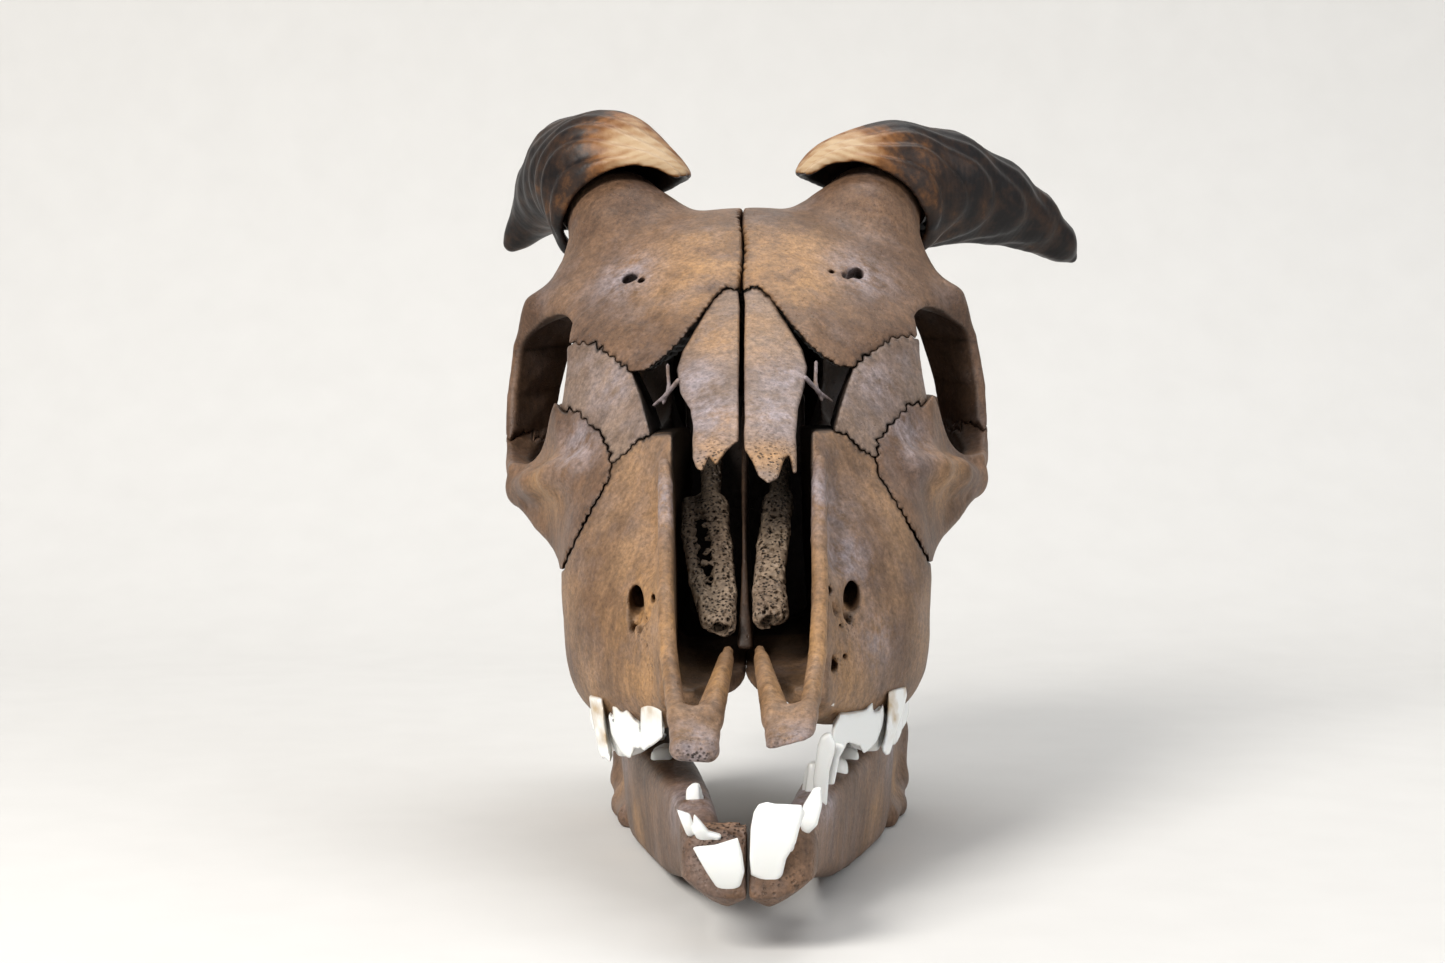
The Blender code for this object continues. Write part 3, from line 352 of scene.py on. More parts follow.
# The nasals end in ragged tips, and the left one is longer.
NASAL_TOP = ((0, 113), (3.2, 114.2), (6, 111.4), (9.5, 105.6), (12, 101), (12.9, 97.5), (12, 93))
NASAL_LONG = NASAL_TOP + (
    (10.8, 89.7), (10.2, 84.4), (10.3, 78.2), (9.5, 78), (9, 81.2), (8.2, 81), (6.8, 77.4), (4.9, 76.5),
    (3.1, 77.8), (2, 80.4), (0.7, 82.3), (0, 82.6))
NASAL_SHORT = NASAL_TOP + (
    (10, 90), (9.3, 87), (9.1, 81.2), (8.2, 79.2), (7.2, 78.9), (6, 81.4), (4.7, 79.8), (2.7, 82.4),
    (1.2, 83.6), (0, 84))
BAR_OUTER = ((45.6, 139, 111.6), (49, 141.5, 103), (50.6, 140, 92), (50.6, 136, 83), (49.2, 129, 76.5))
BAR_INNER = ((37.5, 146, 111), (40, 150, 104), (43, 152, 94), (44.5, 149, 85), (45.5, 143, 78.5))
BAR_SEAM_Z = 83.5


def cavity(s):
    """The nasal cavity, open in front and on top between the maxillae."""
    side = s.x - curve(s.y, (40, 60, 90, 112, 124), (12.2, 12.8, 13.4, 12, 9))
    low = curve(s.y, (40, 60, 80, 120), (40.5, 42.2, 44.4, 46.5)) - s.z
    back = s.y - 122
    roof = s.z - curve(s.y, (84, 92, 108, 124), (130, 101, 96, 92)) + 0.1 * np.abs(s.x)
    return keep(keep(keep(side, low, 3), back, 6), roof, 4)


def fissure_pocket(s):
    """The hollow that shows between the nasal, frontal and lacrimal bones."""
    return bar(s, ((10.5, 112, 101, 3.4), (16.5, 108, 96, 4.2), (19, 102, 92, 3.2)), 3)


def horn_core(s, grow=0.0):
    """The bony core that a horn sheath sits on."""
    points = ((25.5, 150, 117, 14), (26, 154, 126.5, 12.4), (28.5, 160, 131, 10.4), (33, 168, 134.5, 8.4),
              (38, 176, 136.5, 6), (42, 182, 136, 3.2))
    return bar(s, [(x, y, z, r + grow) for x, y, z, r in points], 3)


def bar_wave(s):
    """The wandering of the seam across the bar behind the eye socket."""
    return 0.9 * np.sin(1.9 * s.x + 0.8 * s.y) + 0.4 * np.sin(4.3 * s.x)


def postorbital_bar(s):
    return sheet(s, BAR_OUTER, BAR_INNER, 1.5)


def roof_shell(s, height):
    """The plate of the forehead, and the mass of bone under its middle."""
    shell = keep(keep(height, roof_side(s), 3), -height - ROOF_DEPTH * ROOF_SCALE, 2)
    core = keep(ball(s, (8, 122, 98), (9.5, 34, 20)), height, 1)
    return join(keep(shell, s.y - CORONAL_Y, 1.5), core, 4)


def frontal(s):
    """One half of the forehead, with its part of the eye socket's rim, its horn core and its vessel hole."""
    height = roof_height(s)
    skin = keep(keep(face(s), s.y - 118, 3), height, 1)
    body = join(roof_shell(s, height), keep(skin, 84 - s.z, 1), 2)
    body = within(body, s, FRONTAL_OUTLINE)
    process = keep(postorbital_bar(s), BAR_SEAM_Z - s.z + bar_wave(s), 0.6)
    body = cut(body, orbit(s), 1.5)
    body = join(body, process, 4)
    body = join(body, keep(horn_core(s), -height - 9 * ROOF_SCALE, 2), 7)
    body = cut(body, bar(s, ((23.7, 115, 120, 1.6), (23.5, 123, 115.4, 1.6), (22, 130, 110, 1.2)), 1), 0.8)
    body = cut(cut(body, cavity(s), 1), fissure_pocket(s), 1.5)
    return halved(body, s, 0.7)


def nasal_fall(x):
    """How far the arch of the nasal bones falls away at a distance from the midline."""
    return 3.0 * (np.abs(x) / 12.5) ** 2.2


def nasal(s):
    """One arched plate over the nose."""
    top = guide(ROOF_LINE, 1, s.y)
    arch = (s.z - top + nasal_fall(s.x - 0.5) - 0.5) * 0.84
    plate = keep(arch, -arch - 2.3, 0.8)
    return halved(within(plate, s, NASAL_LONG if s.side > 0 else NASAL_SHORT), s, 1.1)


def lacrimal(s):
    """The bone in front of the eye socket."""
    body = within(keep(face(s), s.y - 124, 2), s, LACRIMAL_OUTLINE)
    body = cut(body, orbit(s), 1.2)
    return cut(cut(body, cavity(s), 0.8), fissure_pocket(s), 1)


def zygomatic(s):
    """The cheek bone below the eye socket, with the front half of the cheek's arch."""
    body = within(face(s), s, ZYGOMATIC_OUTLINE)
    rim = ((36.5, 108, 89.4), (39.5, 113, 84.5), (43.6, 120.5, 80), (47.8, 129, 76.8))
    low = ((33.5, 92, 60), (37.6, 101, 63), (42.4, 111, 66.5), (47.4, 123, 71.8))
    wing = sheet(s, rim, low, 2.0)
    crest = ((33.4, 91, 77, 2.4), (38.6, 97.5, 76.4, 2.4), (43.6, 108, 75, 2.3), (48, 121, 73.4, 1.9))
    ridge = bar(s, crest, 3)
    wing = within(join(wing, ridge, 5), s, ZYGOMATIC_OUTLINE)
    upright = keep(postorbital_bar(s), s.z - BAR_SEAM_Z - bar_wave(s), 0.6)
    arch = sheet(s, ((48.4, 122, 77), (49.6, 136, 79), (48.2, 153, 83)),
                 ((47.6, 123, 72), (49.2, 137, 74.5), (48, 153, 78)), 1.8)
    body = join(join(join(body, wing, 5), arch, 3), upright, 2.5)
    body = within(body, s, ZYGOMATIC_OUTLINE)
    body = cut(body, orbit(s), 1.2)
    return keep(cut(body, cavity(s), 0.8), s.y - 152, 0.8)


# Upper cheek teeth behind the splintered ones, from front to back: centre X, Y, half width, half length
# and crown tip Z.
UPPER_TEETH = ((22.4, 67.5, 3.8, 4.2, 24.6), (25.8, 77.5, 4.2, 5.6, 24.2), (27.4, 89.8, 4.4, 6.0, 25.0),
               (27.2, 102.5, 4.2, 5.8, 26.6))
# All lower cheek teeth in the same order, how far the right one in front has sunk, and those lost behind it.
LOWER_TEETH = ((10.6, 43.5, 1.7, 2.6, 27.4), (11.6, 50, 2.0, 3.0, 25.8), (13.2, 57.8, 2.4, 3.8, 24.8),
               (15.8, 67.8, 2.6, 4.8, 24.0), (18.0, 79.5, 2.8, 5.6, 24.2), (20.0, 92.5, 2.8, 6.2, 25.2))
FALLEN_DROP = 4.4
MISSING = (1, 2, 3)


def premaxilla(s):
    """The fork of bone in front of the upper jaw; its left end is broken off a little shorter."""
    outer = ((10.9, 17, 38.6, 1.7), (11.8, 24, 40.6, 1.7), (13.2, 35, 47, 1.6), (14, 44.5, 57, 1.5),
             (14.1, 53, 66, 1.5), (14.4, 61.5, 76, 1.4), (14.6, 64.5, 80, 1.1))
    inner = ((5.3, 17, 38.4, 1.9), (4.6, 24, 41.2, 2.0), (3.6, 34, 44.2, 1.6), (2.9, 44, 46.6, 1.2))
    nasal_process = bar(s, outer, 0.4)
    palate_process = bar(s, inner, 0.4, flat=((1, 0, 0), 1.25))
    inner_edge = ((5.6, 10.8, 34.2), (5.2, 14, 36.2), (5.4, 18.4, 38.8))
    outer_edge = ((10.6, 10.8, 34.6), (11.0, 14, 36.8), (11.0, 18.4, 39.4))
    body = sheet(s, inner_edge, outer_edge, 1.5)
    tip = bar(s, ((5.9, 10.6, 33.9, 1.7), (10.2, 10.6, 34.3, 1.7)))
    body = join(body, tip, 1.5)
    body = join(join(body, nasal_process, 1.5), palate_process, 1.5)
    web = triangle(s, (7.2, 17, 38.6), (4.6, 16.5, 38.2), (3.2, 40, 45.8)) - 1.3
    body = join(body, web, 1)
    notch = bar(s, ((8.4, 15, 40.6, 0.3), (8.7, 21, 42.8, 0.8), (8.6, 28, 45.6, 1.3)), 0.5)
    body = cut(body, notch, 0.5)
    if s.side > 0:
        body = keep(body, 34.2 + 0.22 * (s.x - 4.7) - s.z, 1.2)
    return halved(body, s, 1.4)


def maxilla_bone(s):
    """The large bone of the muzzle's side, with the nasal cavity, the palate and its vessel hole."""
    body = within(face(s), s, MAXILLA_OUTLINE)
    front = curve(s.z, (35, 39, 45, 52, 62, 72, 80, 88), (45, 40, 38.5, 43.5, 51.5, 59.5, 66, 70)) - s.y
    body = keep(body, front, 1.2)
    body = cut(body, cavity(s), 1)
    gutter = s.x - curve(s.y, (40, 70, 100, 114), (11, 16, 22, 20)) + 0.5 * (PALATE_Z - s.z)
    under = s.z - curve(s.y, (40, 60, 80, 120), (37.2, 38.6, 40.5, 41.5))
    body = cut(body, keep(gutter, under, 4), 1.5)
    body = cut(body, s.y - 40 - 16 * share(1 - s.x / 9) + 3 * np.clip(s.z - 46, 0, 30), 2)
    hole = bar(s, ((20.3, 52, 54, 1.7), (19.4, 64, 56, 1.6), (18.6, 72, 59, 1.2)), 1, flat=((0, 0, 1), 0.65))
    body = cut(body, hole, 1.2)
    body = keep(body, SEAM_GAP - premaxilla(s), 0.4)
    body = keep(body, s.y - curve(s.z, (30, 45, 60), (110, 112, 116)), 1.5)
    return halved(body, s, 0.8)


def palatine(s):
    """The rear of the hard palate with the walls of the inner nostrils and the hooked wings behind."""
    m = s.folded()
    floor = keep(keep(np.abs(s.z - 43.3) - 1.3, m.x - 11.5, 2), np.abs(s.y - 119.6) - 4, 2)
    floor = keep(floor, -bar(s, ((0, 126, 43.3, 4.5), (0, 130, 43.3, 4.5)), 1), 1)
    walls = sheet(m, ((12.0, 117, 44), (12.5, 120, 56), (13, 122, 70)),
                  ((10.5, 139, 47), (10.5, 141, 54), (10.5, 143, 61)), 1.3)
    hook = bar(m, ((10.5, 138, 50, 1.4), (11, 142, 44.5, 1.2), (11.8, 145.5, 40, 0.9)), 1)
    wall = keep(keep(np.abs(s.y - 119) - 1.4, m.x - 12.5, 1), np.maximum(43.5 - s.z, s.z - 92), 1)
    return join(join(join(np.broadcast_to(floor, s.shape), walls, 3), hook, 2), wall, 1.5)


def braincase_form(s):
    """The rear of the skull, not yet cut back from its neighbours."""
    m = s.folded()
    vault = ball(s, (0, 165, 93), (28.5, 37, 33), tilt=4)
    rear = ball(s, (0, 178, 92), (26, 20, 27))
    crest = bar(m, ((0, 192.5, 108, 2.4), (12, 190, 107, 2.3), (22, 184, 101, 2.2), (28, 178, 92, 2.0),
                    (29, 174, 82, 1.8)), 3)
    keel = ((0, 196, 62, 6.5), (0, 178, 61, 7), (0, 158, 63, 7.5), (0, 134, 68, 7.5), (0, 120, 76, 7))
    base = bar(s, keel, 5, flat=((0, 0, 1), 1.35))
    wing = bar(m, ((14, 150, 76, 9), (14, 134, 80, 7)), 6)
    root = bar(m, ((22, 166, 86, 7), (32, 163.5, 87, 5), (40, 163, 86.5, 3.6)), 4)
    arch = sheet(m, ((39, 168, 88), (45, 161, 86.5), (48.2, 154, 83.4)),
                 ((38, 166, 82.4), (45, 160, 80.5), (48, 154, 78.6)), 1.8)
    bulla = ball(m, (17, 174, 59), (6.6, 9.5, 8), turn=18)
    ear = bar(m, ((22, 174, 68, 6), (29.5, 171.5, 70, 3.6)), 3)
    prong = bar(m, ((22, 189, 76, 5), (22.5, 190, 64, 3.6), (21, 188, 51, 2.2), (20.5, 186.5, 42, 1.0)), 3,
                flat=((1, 0, 0), 1.5))
    condyle = ball(m, (11.4, 198, 68.5), (5.6, 7.5, 9), turn=25)
    body = join(join(vault, rear, 8), crest, 7)
    body = join(join(body, base, 6), wing, 8)
    body = keep(join(join(body, root, 6), arch, 3), np.minimum(152.6 - s.y, m.x - 36), 0.8)
    body = join(join(body, bulla, 3), ear, 3)
    body = join(join(body, prong, 4), condyle, 4)
    body = cut(body, ball(s, BRAIN_CENTRE, BRAIN_RADII), 2)
    body = cut(body, bar(s, ((0, 212, 74, 8.4), (0, 186, 77, 8.2)), 1, flat=((1, 0, 0), 0.94)), 1.5)
    return cut(body, bar(m, ((36, 171, 70, 2.2), (26, 172, 69.5, 2.0)), 1), 1)


def braincase(s):
    """The rear of the skull, cut back from the bones in front of it, with the socket of the lower jaw."""
    m = s.folded()
    body = cut(braincase_form(s), orbit(s), 1.5)
    body = keep(body, SEAM_GAP - frontal_pair(m), 0.4)
    body = keep(body, SEAM_GAP - palatine(s), 0.4)
    body = cut(body, cavity(m), 1)
    body = cut(body, bar(m, ((30, 140, 80, 4.8), (30, 150, 92, 4.8), (30, 152, 106, 4.8)), 3), 2)
    socket = ball(m, (30, 158.4, 77.6), (14, 6.2, 5.4))
    return cut(body, socket, 0.8)


def frontal_pair(m):
    """The frontals without the gap between them, to be taken out of what lies behind."""
    body = join(roof_shell(m, roof_height(m)), keep(postorbital_bar(m), BAR_SEAM_Z - m.z, 0.6), 4)
    return join(np.minimum(body, keep(10 - m.x, np.minimum(body, 50), 1)), horn_core(m), 7)


def turbinate(s):
    """A rolled scroll of thin bone in one half of the nose; the right one is broader."""
    reach, low = (0, 0) if s.side < 0 else (-3.4, 1.2)
    outer = ((11.4 + reach, 92, 71), (11 + reach, 80, 66.5), (9.4 + reach, 68, 58.6), (6.6, 58, 51 + low))
    inner = ((5.0, 90, 71), (4.2, 79, 66), (3.4, 67, 57.4), (3.2, 57, 50.6 + low))
    body = sheet(s, outer, inner, 0.9)
    edge = ((4.6, 90, 70, 1.3), (3.9, 76, 63, 1.5), (3.4, 65, 55.2, 1.9), (3.8, 57, 50.2 + low, 2.3))
    lip = ((11.2 + reach, 92, 70.6, 1.1), (10.8 + reach, 79, 65.6, 1.3), (8.8 + reach * 0.8, 67, 57.4, 1.5),
           (6.4, 58, 50.8 + low, 1.9))
    body = join(join(body, bar(s, edge, 1), 1.5), bar(s, lip, 1), 1.5)
    body = join(body, bar(s, ((6.8, 88, 70, 1.8), (7, 116.5, 82, 2.6)), 2), 3)
    body = cut(body, bar(s, ((4.4, 53, 47.6 + low, 1.6), (4.8, 62, 53.4 + low, 1.1)), 1), 0.5)
    return keep(body, 1.2 - s.x, 0.4)


def vomer(s):
    """The upright plate in the middle of the nose, forked along its lower edge."""
    side = ((57, 45.5), (70, 46.2), (100, 46.6), (116.8, 47), (116.8, 91), (96, 84), (74, 68), (60, 51.5))
    thick = curve(s.z, (45, 48, 54, 90), (1.5, 1.3, 0.8, 0.65))
    return keep(np.abs(s.x) - thick, outline(s, side, "side"), 0.5)


MANDIBLE_OUTLINE = (
    (4, 10.5), (8, 7.6), (20, 8.8), (38, 6.4), (58, 2.6), (74, 0.5), (86, 0), (136, 0), (143, 1.8), (150, 7),
    (155, 16), (156, 30), (153.5, 46), (153, 60), (156.5, 69), (161.5, 73.5), (162.5, 77.5), (158, 79.5),
    (152.5, 76.5), (149.5, 79), (148.6, 88), (151, 97), (153, 103.5), (149, 106), (142, 100), (134.5, 88),
    (128, 72), (124, 54), (120.5, 38), (113, 29), (102, 26.5), (80, 22.4), (60, 21.2), (40, 20.2), (30, 17.6),
    (20, 19.4), (12, 21.6), (7, 20))
# X of the middle of the jaw's thickness, along Y, at its lower edge and at the teeth.
JAW_STATIONS = (5, 20, 40, 60, 77, 89, 105, 128, 150)
JAW_LOW = (5.0, 6.6, 8.8, 12.6, 14.8, 17.2, 21.2, 26.4, 29)
JAW_HIGH = (5.4, 7.8, 10.4, 13.4, 17.0, 19.6, 22.6, 27.8, 31)


def jaw_middle(s):
    """X of the middle of the jaw's thickness, by Y and height: the lower edge leans in, in front."""
    low = curve(s.y, JAW_STATIONS, JAW_LOW)
    high = curve(s.y, JAW_STATIONS, JAW_HIGH)
    t = np.clip(s.z / 26, 0, 1.3)
    return low + (high - low) * t


def mandible_bone(s):
    """One half of the lower jaw, from its side outline and its thickness."""
    middle = jaw_middle(s)
    thick = curve(s.y, (5, 12, 24, 40, 60, 90, 110, 122, 150, 160),
                  (5.2, 5.2, 3.6, 3.6, 4.4, 5.4, 4.6, 2.4, 1.9, 2.4))
    thick = thick * curve(s.z, (0, 8, 30, 50, 110), (0.9, 1, 1, 0.85, 0.75))
    thick = thick - share(1 - s.y / 34) * np.clip(13 - s.z, 0, 5) * 1.5
    inner = middle - s.x - thick - 6 * share(1 - s.y / 26)
    body = keep(outline(s, MANDIBLE_OUTLINE, "side"), np.maximum(s.x - middle - thick, inner), 3.5)
    condyle = bar(s, ((27.6, 158, 76.8, 2.4), (31, 158.4, 77.4, 2.6), (36.5, 158, 77.2, 2.3)), 2)
    angle = ((27.6, 122, 2.3, 2.3), (29, 135, 2.4, 2.4), (30.2, 145, 6.4, 2.2), (30.6, 151, 16, 1.9))
    body = join(join(body, condyle, 3), bar(s, angle, 3), 3)
    body = cut(body, bar(s, ((11.5, 21, 15.4, 1.3), (7, 24, 15, 1.1)), 1), 0.6)
    return keep(halved(body, s, 0.6), -s.z, 0.2)


# The plane that ends a sheath at its open mouth: its normal, and how far along that it lies.
HORN_MOUTH = ((-0.251, 0.917, 0.312), 177.8)
# The middle line of each sheath, as X, Y, Z and radius, and how thick its wall is at those points.
HORN_LEFT = ((21, 147, 115.4, 14.5), (26, 156, 127.6, 14.6), (33.5, 166, 137.4, 13.7), (45, 174, 137.6, 12),
             (57, 182, 134.8, 9.2), (67, 188.5, 130.2, 6.2), (74, 192.5, 125, 3.5), (77.7, 195, 121.4, 1))
HORN_RIGHT = ((21, 147, 115.4, 14.5), (26, 156, 127.8, 14.8), (31.5, 166, 140.5, 14.4), (38, 176, 142.4, 12),
              (45, 184, 138.8, 8), (50.2, 189.5, 133.6, 4.3), (54, 191.5, 129.4, 2), (56, 192, 127.2, 1))
HORN_WALLS = (1.6, 1.7, 2.6, 4, 5.5)
# The wider base of a sheath towards the midline, and how far its rim reaches forward at each X.
HORN_BASE = ((23.5, 157, 132.5, 14.2), (24.5, 162, 135, 14))
RIM_X = (16, 24, 32, 38)
RIM_REACH = (1.5, 3.8, 6.2, 7.2)


def horn(s):
    """A loose horn sheath: a curved hollow cone with growth rings near its open mouth."""
    path = HORN_LEFT if s.side > 0 else HORN_RIGHT
    outer = join(bar(s, path, 5), bar(s, HORN_BASE, 1), 4)
    normal, past = HORN_MOUTH
    along = normal[0] * s.x + normal[1] * s.y + normal[2] * s.z - past
    outer = outer + 0.4 * np.sin(1.5 * along) * share(1 - along / 24)
    along = along + curve(s.x, RIM_X, RIM_REACH) * share((s.z - 122) / 10)
    hollow = bar(s, [(x, y, z, r - wall) for (x, y, z, r), wall in zip(path, HORN_WALLS)], 4)
    hollow = join(hollow, bar(s, [(x, y, z, r - HORN_WALLS[1]) for x, y, z, r in HORN_BASE], 1), 3)
    hollow = np.minimum(hollow, horn_core(s, 1.0))
    lip = (np.minimum(139.5 - 0.35 * (s.x - 13.3), 137.2 - 2.2 * (s.x - 20)) - s.z) * 0.6
    shell = keep(keep(keep(outer, -hollow, 1.2), -along, 1.2), lip, 1.2)
    return keep(shell, 0.9 - frontal_skin(s), 0.4)


def frontal_skin(s):
    """The surface of the forehead and the horn core, which the sheath stays clear of."""
    return join(keep(roof_height(s), roof_side(s), 3), horn_core(s), 7)


def hashed(cells, salt):
    """A value from 0 to 1 for each whole-numbered cell."""
    code = (cells[0] * 73856093) ^ (cells[1] * 19349663) ^ (cells[2] * 83492791) ^ (salt * 2654435761)
    return (code ^ (code >> 13)) * 1274126177 % 65521 / 65521


def pores(s, pitch, radius):
    """Distance to round holes scattered through space, one in every cell of a loose grid."""
    places = [s.x / pitch, s.y / pitch, s.z / pitch]
    cells = [np.floor(a).astype(np.int64) for a in places]
    found = 9.0
    for offset in product((-1, 0, 1), repeat=3):
        c = [cells[i] + offset[i] for i in range(3)]
        near = sum((places[i] - c[i] - 0.15 - 0.7 * hashed(c, i)) ** 2 for i in range(3))
        found = np.minimum(found, np.sqrt(near) * pitch - radius * (0.7 + 0.6 * hashed(c, 5)))
    return found


def scroll(s):
    """A turbinate as thin sponge, with a ragged lane of larger holes along the broad one."""
    body = cut(turbinate(s), pores(s, 1.15, 0.46), 0.15)
    if s.side < 0:
        middle = ((9.2, 84.5, 68.6, 1.7), (8.6, 77, 64.6, 1.9), (7.6, 70, 60.4, 1.5), (6.4, 64, 56.4, 0.9))
        body = cut(body, keep(bar(s, middle, 1), -pores(s, 2.2, 0.85), 0.2), 0.3)
    return body


def crown(s, size, root_z, up, seed):
    """A high cheek tooth: a ribbed column, worn to sharp points on its outer side."""
    x, y, width, length, tip = size
    rng = np.random.default_rng(seed)
    depth = (tip - s.z) * up
    u = (s.y - y - 0.05 * depth * rng.uniform(-1, 1)) / length
    v = (s.x - x + 0.06 * depth) / width
    taper = 0.82 + 0.18 * share(depth / 6)
    rib = 0.12 * np.cos(2 * np.pi * u) * share(-v * up * 2)
    ring = ((np.abs(u) ** 3 + np.abs(v + rib * up) ** 3) ** (1 / 3) - taper) * min(width, length)
    notch = 2.6 * (1 - np.abs(np.sin(np.pi * u))) + 1.3 * share(v * up) + rng.uniform(0, 0.8) * u
    body = keep(ring, notch - depth, 0.7)
    return keep(body, np.abs(s.z - (tip + root_z) / 2) - abs(tip - root_z) / 2, 0.3)


# The foremost upper teeth, splintered: outlines in X and Z, seen from the front, and the tooth outside them.
SPLINTERS_RIGHT = (
    ((19.4, 35.7), (17.5, 36.9), (15.1, 36.9), (15.1, 31.2), (16.2, 30), (18.9, 27.7), (19.7, 28.2)),
    ((26.3, 32.9), (25.8, 32.9), (25.1, 31.1), (25.4, 34.8), (24.5, 34.8), (23.4, 33.7), (22.3, 34.6),
     (21.5, 33.9), (20.6, 32.8), (19.9, 32.7), (19.9, 27.8), (20.7, 27.9), (21.7, 25.6), (22.5, 25.6),
     (23.8, 26.3), (24.8, 27.7), (25.8, 29.2), (26, 31)),
)
SPLINTERS_LEFT = (
    ((17.1, 34.2), (19, 33.9), (22.1, 33.6), (22.9, 34.4), (23.6, 35), (23.8, 32.7), (24.9, 32.8),
     (25.8, 34.1), (25.9, 31.6), (25.5, 29.6), (24.4, 27.2), (23.2, 26.3), (21.7, 25.5), (20.8, 27.3),
     (18.5, 28.7), (18.2, 27.9), (17, 26.3), (16.3, 27.5), (15.7, 30.4), (16, 32)),
    ((14.4, 38), (16.8, 38), (16.2, 35.9), (15.1, 36.3)),
)
OUTER_RIGHT = (
    ((30.3, 35.8), (27.3, 35.8), (26.9, 30.7), (26.6, 28.2), (26.1, 26.3), (25.8, 23.9), (27, 24.6),
     (27.8, 24.3), (28.6, 25.8), (28.9, 28.3), (29.7, 31.9)),
)
OUTER_LEFT = (
    ((26.8, 36.2), (30.4, 36.2), (30.6, 34.5), (29.6, 31.1), (28.1, 27.7), (26.9, 24.4), (26.1, 24.2),
     (25.2, 25.4), (26, 27.8), (26.4, 30.2)),
)
# Where the columns of the upper and lower cheek teeth end in their bone.
UPPER_ROOT_Z = 38.0
LOWER_ROOT_Z = 17.0
# The tooth row's front slants back by this much along Y for each millimetre in X, and its true distance is
# this share of the distance along Y.
ROW_SLANT = 1.75
ROW_SHARE = 0.496


def splinters(s, outlines, thick, set_back):
    """Slabs of tooth along the slanting front of the tooth row, a little proud of the bone."""
    middle = set_back + ROW_SLANT * (s.x - 17)
    depth = np.abs(s.y - middle) * ROW_SHARE - thick
    return np.minimum.reduce([keep(outline(s, points), depth, 0.45) for points in outlines])


def upper_crowns(s):
    """The upper cheek teeth, splintered in front."""
    rows = [crown(s, size, UPPER_ROOT_Z, -1, i) for i, size in enumerate(UPPER_TEETH, 2)]
    rows.append(splinters(s, SPLINTERS_LEFT if s.side > 0 else SPLINTERS_RIGHT, 2.2, 51.9))
    return np.minimum.reduce([np.broadcast_to(r, s.shape) for r in rows])


def outer_tooth(s):
    """The tooth that stands outside the splintered ones."""
    return splinters(s, OUTER_LEFT if s.side > 0 else OUTER_RIGHT, 2.0, 49.6)


def lower_crowns(s):
    """The lower cheek teeth; on the right one has sunk and three are lost."""
    rows = []
    for i, size in enumerate(LOWER_TEETH):
        if i in (MISSING if s.side < 0 else (0,)):
            continue
        drop = FALLEN_DROP if i == 0 else 0
        rows.append(crown(s, size[:4] + (size[4] - drop,), LOWER_ROOT_Z, 1, 20 + i))
    return np.minimum.reduce([np.broadcast_to(r, s.shape) for r in rows])


# Front teeth, seen from the front: the Y at the root and at the edge, the thickness there, and the
# outline in X and Z.
FALLEN_TEETH = (
    (7.6, 2.6, 2.4, 0.7, ((9.1, 19.1), (5.4, 19.5), (1.6, 20.8), (0.9, 18.1), (0.5, 14.8), (1.2, 12.2),
                          (2.9, 10.5), (5.2, 11.9), (6.8, 14.7))),
    (10.4, 7.4, 1.6, 0.6, ((12, 24.7), (9.7, 23.9), (8.9, 21.2), (8.9, 19), (10.3, 20), (11.4, 23))),
    (10.2, 7, 2, 0.8, ((9.1, 24.1), (8, 22.8), (6.5, 20.8), (4.4, 20.2), (4.8, 18.6), (5.3, 17.6), (7.7, 18),
                       (9.2, 20.8))),
)
STANDING_TEETH = (
    (7.8, 2.2, 2.6, 0.7, ((0.5, 22.2), (1, 25), (1.8, 26.4), (3.2, 26.8), (4.5, 26.5), (8.9, 26.3),
                          (9.3, 25.2), (8, 19.8), (6.4, 16.9), (5.8, 14), (4.9, 12.5), (3.1, 12.5),
                          (0.5, 14), (0.3, 17))),
    (9.2, 4, 2, 0.8, ((8.9, 25.8), (9.5, 24.6), (8.1, 20.4), (7.6, 17.7), (6.7, 16.1), (6.2, 18.2),
                      (7.7, 21.7))),
    (11.2, 9.6, 1.8, 0.8, ((10.9, 27.8), (12.2, 28.1), (12.4, 25), (11.6, 21.6), (9.4, 19.2), (8.6, 21.7),
                           (9.2, 24.9))),
    (43, 42, 1.7, 1.4, ((13.1, 32), (14.2, 32.3), (15.1, 30.4), (14.9, 28.6), (14, 25.4), (13.6, 19),
                        (11.4, 19), (11.1, 23.6), (11.5, 26.8), (11.8, 29.5), (12.4, 31.4))),
    (47.4, 47, 1.6, 1.2, ((15.1, 29.8), (17, 29.2), (15.9, 27), (15, 22), (13.6, 22), (14.4, 26.1))),
)


def blades(s):
    """Thin chisels cut from their outlines, thickening towards the root."""
    found = []
    for root_y, edge_y, root_thick, edge_thick, points in STANDING_TEETH if s.side > 0 else FALLEN_TEETH:
        low, high = min(z for _, z in points), max(z for _, z in points)
        t = share((s.z - low) / (high - low))
        middle = root_y + (edge_y - root_y) * t - 0.8 * np.sin(np.pi * t)
        thick = root_thick + (edge_thick - root_thick) * t
        found.append(keep(outline(s, points), (np.abs(s.y - middle) - thick) * 0.9, 0.7))
    return np.minimum.reduce(found)


def pocked_jaw(s):
    """A jaw half with the opened sockets and sponge behind its front teeth, and the sunken tooth's socket."""
    body = mandible_bone(s)
    reach = ((4.6, 12.5, 19.6), (5.6, 6.5, 3.4)) if s.side < 0 else ((9.4, 14, 18.2), (2.6, 4, 3))
    body = cut(body, keep(ball(s, *reach), pores(s, 2.1, 0.85), 0.3), 0.5)
    socket = bar(s, ((10.6, 43.5, 24, 1.9), (10.6, 43.5, 19, 1.6)), 0.5)
    return cut(body, socket, 0.6) if s.side < 0 else body


